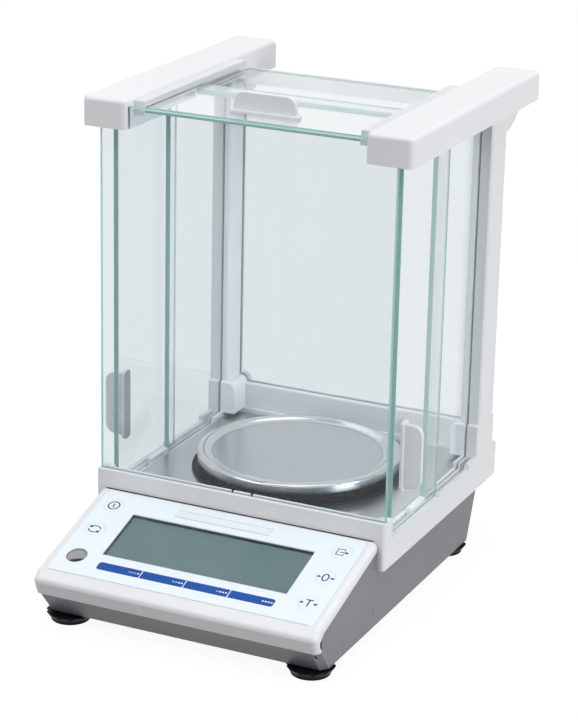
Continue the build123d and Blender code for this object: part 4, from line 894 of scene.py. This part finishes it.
@dataclass
class SpiritLevel:
    """The round level in its hole in the key sheet; lengths in millimetres, angles in degrees."""

    panel: KeyPanel = field(default_factory=KeyPanel)
    play: float = 0.06
    drop: float = 1.2
    cap: float = 0.5
    cap_sides: int = 48
    # rim: a dark grey ring on the cap's edge, painted shade from the hole's wall.
    rim: Flat = (0.5, 0.05)
    crescent_shade_inset: float = 0.1
    # The dark crescent on the cap's front is a painted shadow from the hole's wall.
    crescent_shade_thick: float = 0.08
    crescent_shade_steps: int = 24
    bearing: float = -65.0
    spread: float = 58.0
    bulge: float = 0.6

    def build(self, paint: Paint) -> None:
        """Builds the level's cap with a painted shadow on its front and a painted shade ring round its edge, and
        dresses what holds it.

        Args:
            paint: The store of materials.
        """
        paint.coat("bubble_vial", VIAL)
        paint.coat("vial_holder", VIAL)
        u, v, hole = self.panel.level
        radius = hole - self.play
        top = self.cap - self.drop
        cap = Sheetwork(self.panel.place, -self.drop, self.cap)
        cap.disc(u, -v, radius, self.cap_sides)
        # Painted shade: a dark ring round the cap's edge.
        width, thick = self.rim
        rim = Sheetwork(self.panel.place, top, thick)
        rim.arc(u, -v, radius - width / 2, 0, 360, width)
        # Painted shadow: a dark crescent on the cap's front.
        edge = Sheetwork(self.panel.place, top, self.crescent_shade_thick)
        edge.plate(self.crescent(u, -v, radius - self.crescent_shade_inset))
        for name, work, finish in (("level_cap", cap, VIAL), ("level_rim", rim, SHADE),
                                   ("level_painted_shadow", edge, DARK_INK)):
            new_piece(name, work.mesh, [paint.of(finish)], "base")

    def crescent(self, u: float, v: float, radius: float) -> list[Flat]:
        """Gives the outline of the painted shadow.

        Args:
            u: Centre along the sheet.
            v: Centre up the sheet.
            radius: Outer radius.

        Returns:
            The outline, outer arc first.
        """
        chord = radius * math.cos(math.radians(self.spread))
        turns = [-self.spread + 2 * self.spread * i / self.crescent_shade_steps for i in range(self.crescent_shade_steps + 1)]
        outer = [(radius * math.cos(math.radians(t)), radius * math.sin(math.radians(t))) for t in turns]
        inner = [(chord - self.bulge * math.cos(math.radians(90 * t / self.spread)),
                  radius * math.sin(math.radians(t))) for t in reversed(turns[1:-1])]
        c, s = math.cos(math.radians(self.bearing)), math.sin(math.radians(self.bearing))
        return [(u + x * c - y * s, v + x * s + y * c) for x, y in outer + inner]


@dataclass
class GlassPane:
    """A pane with ground edges that stands for its CAD node; the arris is in millimetres."""

    node: str
    body: str
    glass: ClearFinish
    arris: float = 0.35

    def build(self, paint: Paint) -> None:
        """Builds the pane: broad faces in clear glass, ground edges in the edge finish.

        Args:
            paint: The store of materials.
        """
        low, high = (Vector(c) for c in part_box(self.node))
        size = high - low
        thin = min(range(3), key=lambda i: size[i])
        wide = [i for i in range(3) if i != thin]
        arris = self.arris * MM
        mesh = bmesh.new()
        rings: list[list[bmesh.types.BMVert]] = []
        for depth, inset in ((0.0, arris), (arris, 0.0), (size[thin] - arris, 0.0), (size[thin], arris)):
            ring = []
            for a, b in ((0, 0), (1, 0), (1, 1), (0, 1)):
                point = [0.0, 0.0, 0.0]
                point[thin] = low[thin] + depth
                point[wide[0]] = high[wide[0]] - inset if a else low[wide[0]] + inset
                point[wide[1]] = high[wide[1]] - inset if b else low[wide[1]] + inset
                ring.append(mesh.verts.new(point))
            rings.append(ring)
        mesh.faces.new(rings[0][::-1])
        mesh.faces.new(rings[-1])
        for lower, upper in zip(rings, rings[1:]):
            for i in range(4):
                j = (i + 1) % 4
                mesh.faces.new((lower[i], lower[j], upper[j], upper[i])).material_index = 1
        piece = new_piece("pane_" + self.node, mesh, [paint.of(self.glass), paint.of(EDGE)], self.body)
        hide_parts(self.node)


@dataclass
class DraftShield:
    """The panes, the rails, the columns and the tray; softened edges in millimetres."""

    # Panes get shaded and lit tints of one glass: painted shade at the front and right, painted light at the rear
    # and left.
    panes: dict[str, tuple[str, ClearFinish]] = field(default_factory=lambda: {
        "front_glass": ("base", GLASS_PAINTED_DEEP_SHADE), "rear_glass": ("base", GLASS_PAINTED_LIGHT),
        "left_rear_pane": ("base", GLASS_PAINTED_LIGHT), "right_rear_pane": ("base", GLASS_PAINTED_SHADE),
        "top_rear_pane": ("base", GLASS), "left_door_glass": ("left_door", GLASS_PAINTED_LIGHT),
        "right_door_glass": ("right_door", GLASS_PAINTED_SHADE), "top_door_glass": ("top_door", GLASS)})
    plastic: Iterable[str] = ("shield_tray", "rear_fence", "rear_top_bar")
    sided: Iterable[str] = ("column", "rail_cover", "rail_end_cap")
    guides: Iterable[str] = ("side_guide", "top_guide")
    soft: float = 0.35
    soft_small: float = 0.2

    def build(self, paint: Paint) -> None:
        """Builds the panes and dresses the plastic around them.

        Args:
            paint: The store of materials.
        """
        for node, (body, glass) in self.panes.items():
            GlassPane(node, body, glass).build(paint)
        for node in self.plastic:
            paint.coat(node, WHITE, self.soft)
        for side in Side:
            for node in self.sided:
                paint.coat(f"{side.value}_{node}", WHITE, self.soft)
            for node in self.guides:
                paint.coat(f"{side.value}_{node}", WHITE_GUIDE, self.soft_small)
            paint.coat(f"{side.value}_door_handle", WHITE, self.soft_small)
        paint.coat("top_door_handle", WHITE, self.soft_small)
        paint.coat("track_stops", WHITE)


@dataclass
class Chamber:
    """The pan, what is under it and a dark strip in front of the tray that paints the shadow in its joint; lengths
    in millimetres.
    """

    finishes: dict[str, Finish] = field(default_factory=lambda: {
        "floor_plate": STEEL, "draft_ring": BLACK, "pan_support": BLACK, "weighing_pan": PAN_RIM,
        "pan_post": SCREW})
    face_drop: float = 1.8
    face_root: Flat = (49.8, -0.2)
    face_edge: Flat = (49.9, 0.0)
    face_top: Flat = (49.0, 0.04)
    face_sides: int = 96
    # A dark strip in the tray's joint with the console: painted shadow.
    shadow_strip_inset: float = 3.0
    shadow_strip_depth: float = 0.5
    shadow_strip_below: float = 1.2
    shadow_strip_above: float = 0.2

    def build(self, paint: Paint) -> None:
        """Dresses the pan, its carrier and the floor.

        Args:
            paint: The store of materials.
        """
        for node, finish in self.finishes.items():
            paint.coat(node, finish)
        self.pan_face(paint)
        self.shadow_strip(paint)

    def pan_face(self, paint: Paint) -> None:
        """Builds the fine-turned flat of the pan as a skin on its dish.

        Args:
            paint: The store of materials.
        """
        _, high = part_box("weighing_pan")
        centre = (PAN_CENTRE[0] / MM, PAN_CENTRE[1] / MM)
        top = high[2] / MM - self.face_drop
        outline = [(0.0, self.face_root[1]), self.face_root, self.face_edge, self.face_top,
                   (0.0, self.face_top[1])]
        mesh = lathe(centre, [(radius, top + rise) for radius, rise in outline], self.face_sides)
        new_piece("pan_turned_face", mesh, [paint.of(PAN_FACE)], "pan")

    def shadow_strip(self, paint: Paint) -> None:
        """Builds a dark strip against the tray's front, in the joint with the console: a painted shadow in the
        gap.

        Args:
            paint: The store of materials.
        """
        tray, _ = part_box("shield_tray")
        low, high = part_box("console_cover")
        front, top = tray[1], high[2]
        back, foot = front - self.shadow_strip_depth * MM, top - self.shadow_strip_below * MM
        outline = ((front, foot), (back, foot), (back, top), (front, top + self.shadow_strip_above * MM))
        mesh = bmesh.new()
        rings = [[mesh.verts.new((x, y, z)) for y, z in outline]
                 for x in (low[0] + self.shadow_strip_inset * MM, high[0] - self.shadow_strip_inset * MM)]
        mesh.faces.new(rings[0])
        mesh.faces.new(rings[1][::-1])
        for i in range(len(outline)):
            j = (i + 1) % len(outline)
            mesh.faces.new((rings[0][j], rings[0][i], rings[1][i], rings[1][j]))
        # Painted shadow in the joint, made in the dark foot rubber.
        new_piece("tray_shadow_strip", mesh, [paint.of(RUBBER)], "base")


@dataclass
class LowerCase:
    """The grey case, its feet and what is inside; softened edges in millimetres."""

    inner: dict[str, Finish] = field(default_factory=lambda: {
        "chassis_plate": CASTING, "fork_sensor": CASTING, "load_lever": CASTING, "main_board": BOARD,
        "foot_bushes": BRASS, "case_screws": SCREW, "serial_connector": STEEL, "power_jack": BLACK})
    corners: Iterable[str] = ("front_left", "front_right", "rear_left", "rear_right")
    case_soft: float = 0.5
    plate_soft: float = 0.15
    wheel_soft: float = 0.3

    def build(self, paint: Paint) -> None:
        """Dresses the case, the feet and the parts inside.

        Args:
            paint: The store of materials.
        """
        paint.coat("lower_case", GREY, self.case_soft)
        paint.coat("side_blanking_plate", GREY, self.plate_soft)
        for node, finish in self.inner.items():
            paint.coat(node, finish)
        for corner in self.corners:
            paint.coat("foot_wheel_" + corner, BLACK, self.wheel_soft)
            paint.coat("foot_pad_" + corner, RUBBER)


@dataclass(frozen=True)
class Lamp:
    """A soft square lamp; lengths in metres, power in watts."""

    name: str
    place: Point
    size: float
    power: float
    aim: Point = (0.0, 0.0, 0.12)

    def build(self) -> None:
        """Hangs the lamp and turns it to the object."""
        data = bpy.data.lights.new(self.name, "AREA")
        data.shape = "SQUARE"
        data.size = self.size
        data.energy = self.power
        lamp = bpy.data.objects.new(self.name, data)
        lamp.location = self.place
        way = Vector(self.aim) - Vector(self.place)
        lamp.rotation_euler = way.to_track_quat("-Z", "Y").to_euler()
        bpy.context.scene.collection.objects.link(lamp)


@dataclass
class Studio:
    """Camera, lamps, floor and world; lengths in metres, angles in degrees."""

    target: Point = (-0.00097, 0.01198, 0.12685)
    distance: float = 1.4431
    azimuth: float = 25.04
    elevation: float = 18.93
    roll: float = 1.26
    lens: float = 125.8
    sensor: float = 36.0
    clip: Flat = (0.05, 50.0)
    floor_size: float = 12.0
    floor_bounce: float = 0.28
    floor_seen: float = 0.95
    floor_glow: float = 1.03
    floor_share: float = 0.9
    floor_roughness: float = 0.9
    shade: float = 0.46
    lamps: Iterable[Lamp] = (
        Lamp("key_lamp", (-1.1, -1.2, 1.9), 1.3, 18.0),
        Lamp("top_lamp", (0.2, 0.2, 2.3), 1.8, 19.0),
        Lamp("side_lamp", (1.95, -0.3, 0.5), 1.0, 18.0))

    def build(self) -> None:
        """Builds everything round the object."""
        self.camera()
        self.world()
        self.floor()
        for lamp in self.lamps:
            lamp.build()
        bpy.context.scene.view_settings.view_transform = "Standard"

    def camera(self) -> None:
        """Puts the camera at the photograph's place."""
        a, e, r = (math.radians(x) for x in (self.azimuth, self.elevation, self.roll))
        forward = Vector((-math.sin(a) * math.cos(e), math.cos(a) * math.cos(e), -math.sin(e)))
        right = Vector((math.cos(a), math.sin(a), 0.0))
        up = right.cross(forward)
        right, up = right * math.cos(r) + up * math.sin(r), up * math.cos(r) - right * math.sin(r)
        data = bpy.data.cameras.new("camera")
        data.lens = self.lens
        data.sensor_width = self.sensor
        data.clip_start, data.clip_end = self.clip
        camera = bpy.data.objects.new("camera", data)
        turn = Matrix((right, up, -forward)).transposed().to_4x4()
        camera.matrix_world = Matrix.Translation(Vector(self.target) - forward * self.distance) @ turn
        bpy.context.scene.collection.objects.link(camera)
        bpy.context.scene.camera = camera

    def world(self) -> None:
        """White to the eye, in gloss and through glass; a calmer grey as a lamp."""
        world = bpy.data.worlds.new("studio")
        bpy.context.scene.world = world
        world.use_nodes = True
        tree = world.node_tree
        tree.nodes.clear()
        shader = fill(tree.nodes.new("ShaderNodeBackground"), {"Color": (1.0, 1.0, 1.0, 1.0)})
        output = tree.nodes.new("ShaderNodeOutputWorld")
        wire(tree, (self.either(tree, self.shade, 1.0), "Result", shader, "Strength"),
             (shader, "Background", output, "Surface"))

    @staticmethod
    def either(tree: bpy.types.NodeTree, lighting: float, seen: float) -> bpy.types.Node:
        """Gives one number to the rays that light the object and one to those that are seen.

        Args:
            tree: Where the nodes go.
            lighting: The number for light.
            seen: The number for camera, glossy and transmission rays.

        Returns:
            The node that puts it out as its result.
        """
        rays = tree.nodes.new("ShaderNodeLightPath")
        first = tree.nodes.new("ShaderNodeMath")
        second = tree.nodes.new("ShaderNodeMath")
        second.use_clamp = True
        number = fill(tree.nodes.new("ShaderNodeMapRange"), {"To Min": lighting, "To Max": seen})
        wire(tree, (rays, "Is Camera Ray", first, 0), (rays, "Is Glossy Ray", first, 1),
             (first, "Value", second, 0), (rays, "Is Transmission Ray", second, 1),
             (second, "Value", number, "Value"))
        return number

    def floor(self) -> None:
        """A pale floor that is near white to the eye and keeps the object's shadow."""
        mesh = bmesh.new()
        bmesh.ops.create_grid(mesh, x_segments=1, y_segments=1, size=self.floor_size / 2)
        data = bpy.data.meshes.new("floor")
        mesh.to_mesh(data)
        mesh.free()
        floor = bpy.data.objects.new("floor", data)
        bpy.context.scene.collection.objects.link(floor)
        material = bpy.data.materials.new("floor_white")
        material.use_nodes = True
        tree = material.node_tree
        shader = fill(tree.nodes["Principled BSDF"], {"Roughness": self.floor_roughness})
        glow = fill(tree.nodes.new("ShaderNodeEmission"), {"Strength": self.floor_glow})
        mix = tree.nodes.new("ShaderNodeMixShader")
        wire(tree, (self.either(tree, self.floor_bounce, self.floor_seen), "Result", shader, "Base Color"),
             (self.either(tree, 0.0, self.floor_share), "Result", mix, "Fac"), (shader, "BSDF", mix, 1),
             (glow, "Emission", mix, 2), (mix, "Shader", tree.nodes["Material Output"], "Surface"))
        data.materials.append(material)


def main() -> None:
    """Loads the frame, dresses each sub-assembly and sets up the studio."""
    logging.basicConfig(level=logging.INFO, format="%(name)s %(message)s")
    FRAME.update(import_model())
    paint = Paint()
    for part in (LowerCase(), KeyPanel(), SpiritLevel(), DraftShield(), Chamber()):
        LOG.info("building %s", type(part).__name__)
        part.build(paint)
    Studio().build()


if __name__ == "__main__":
    main()
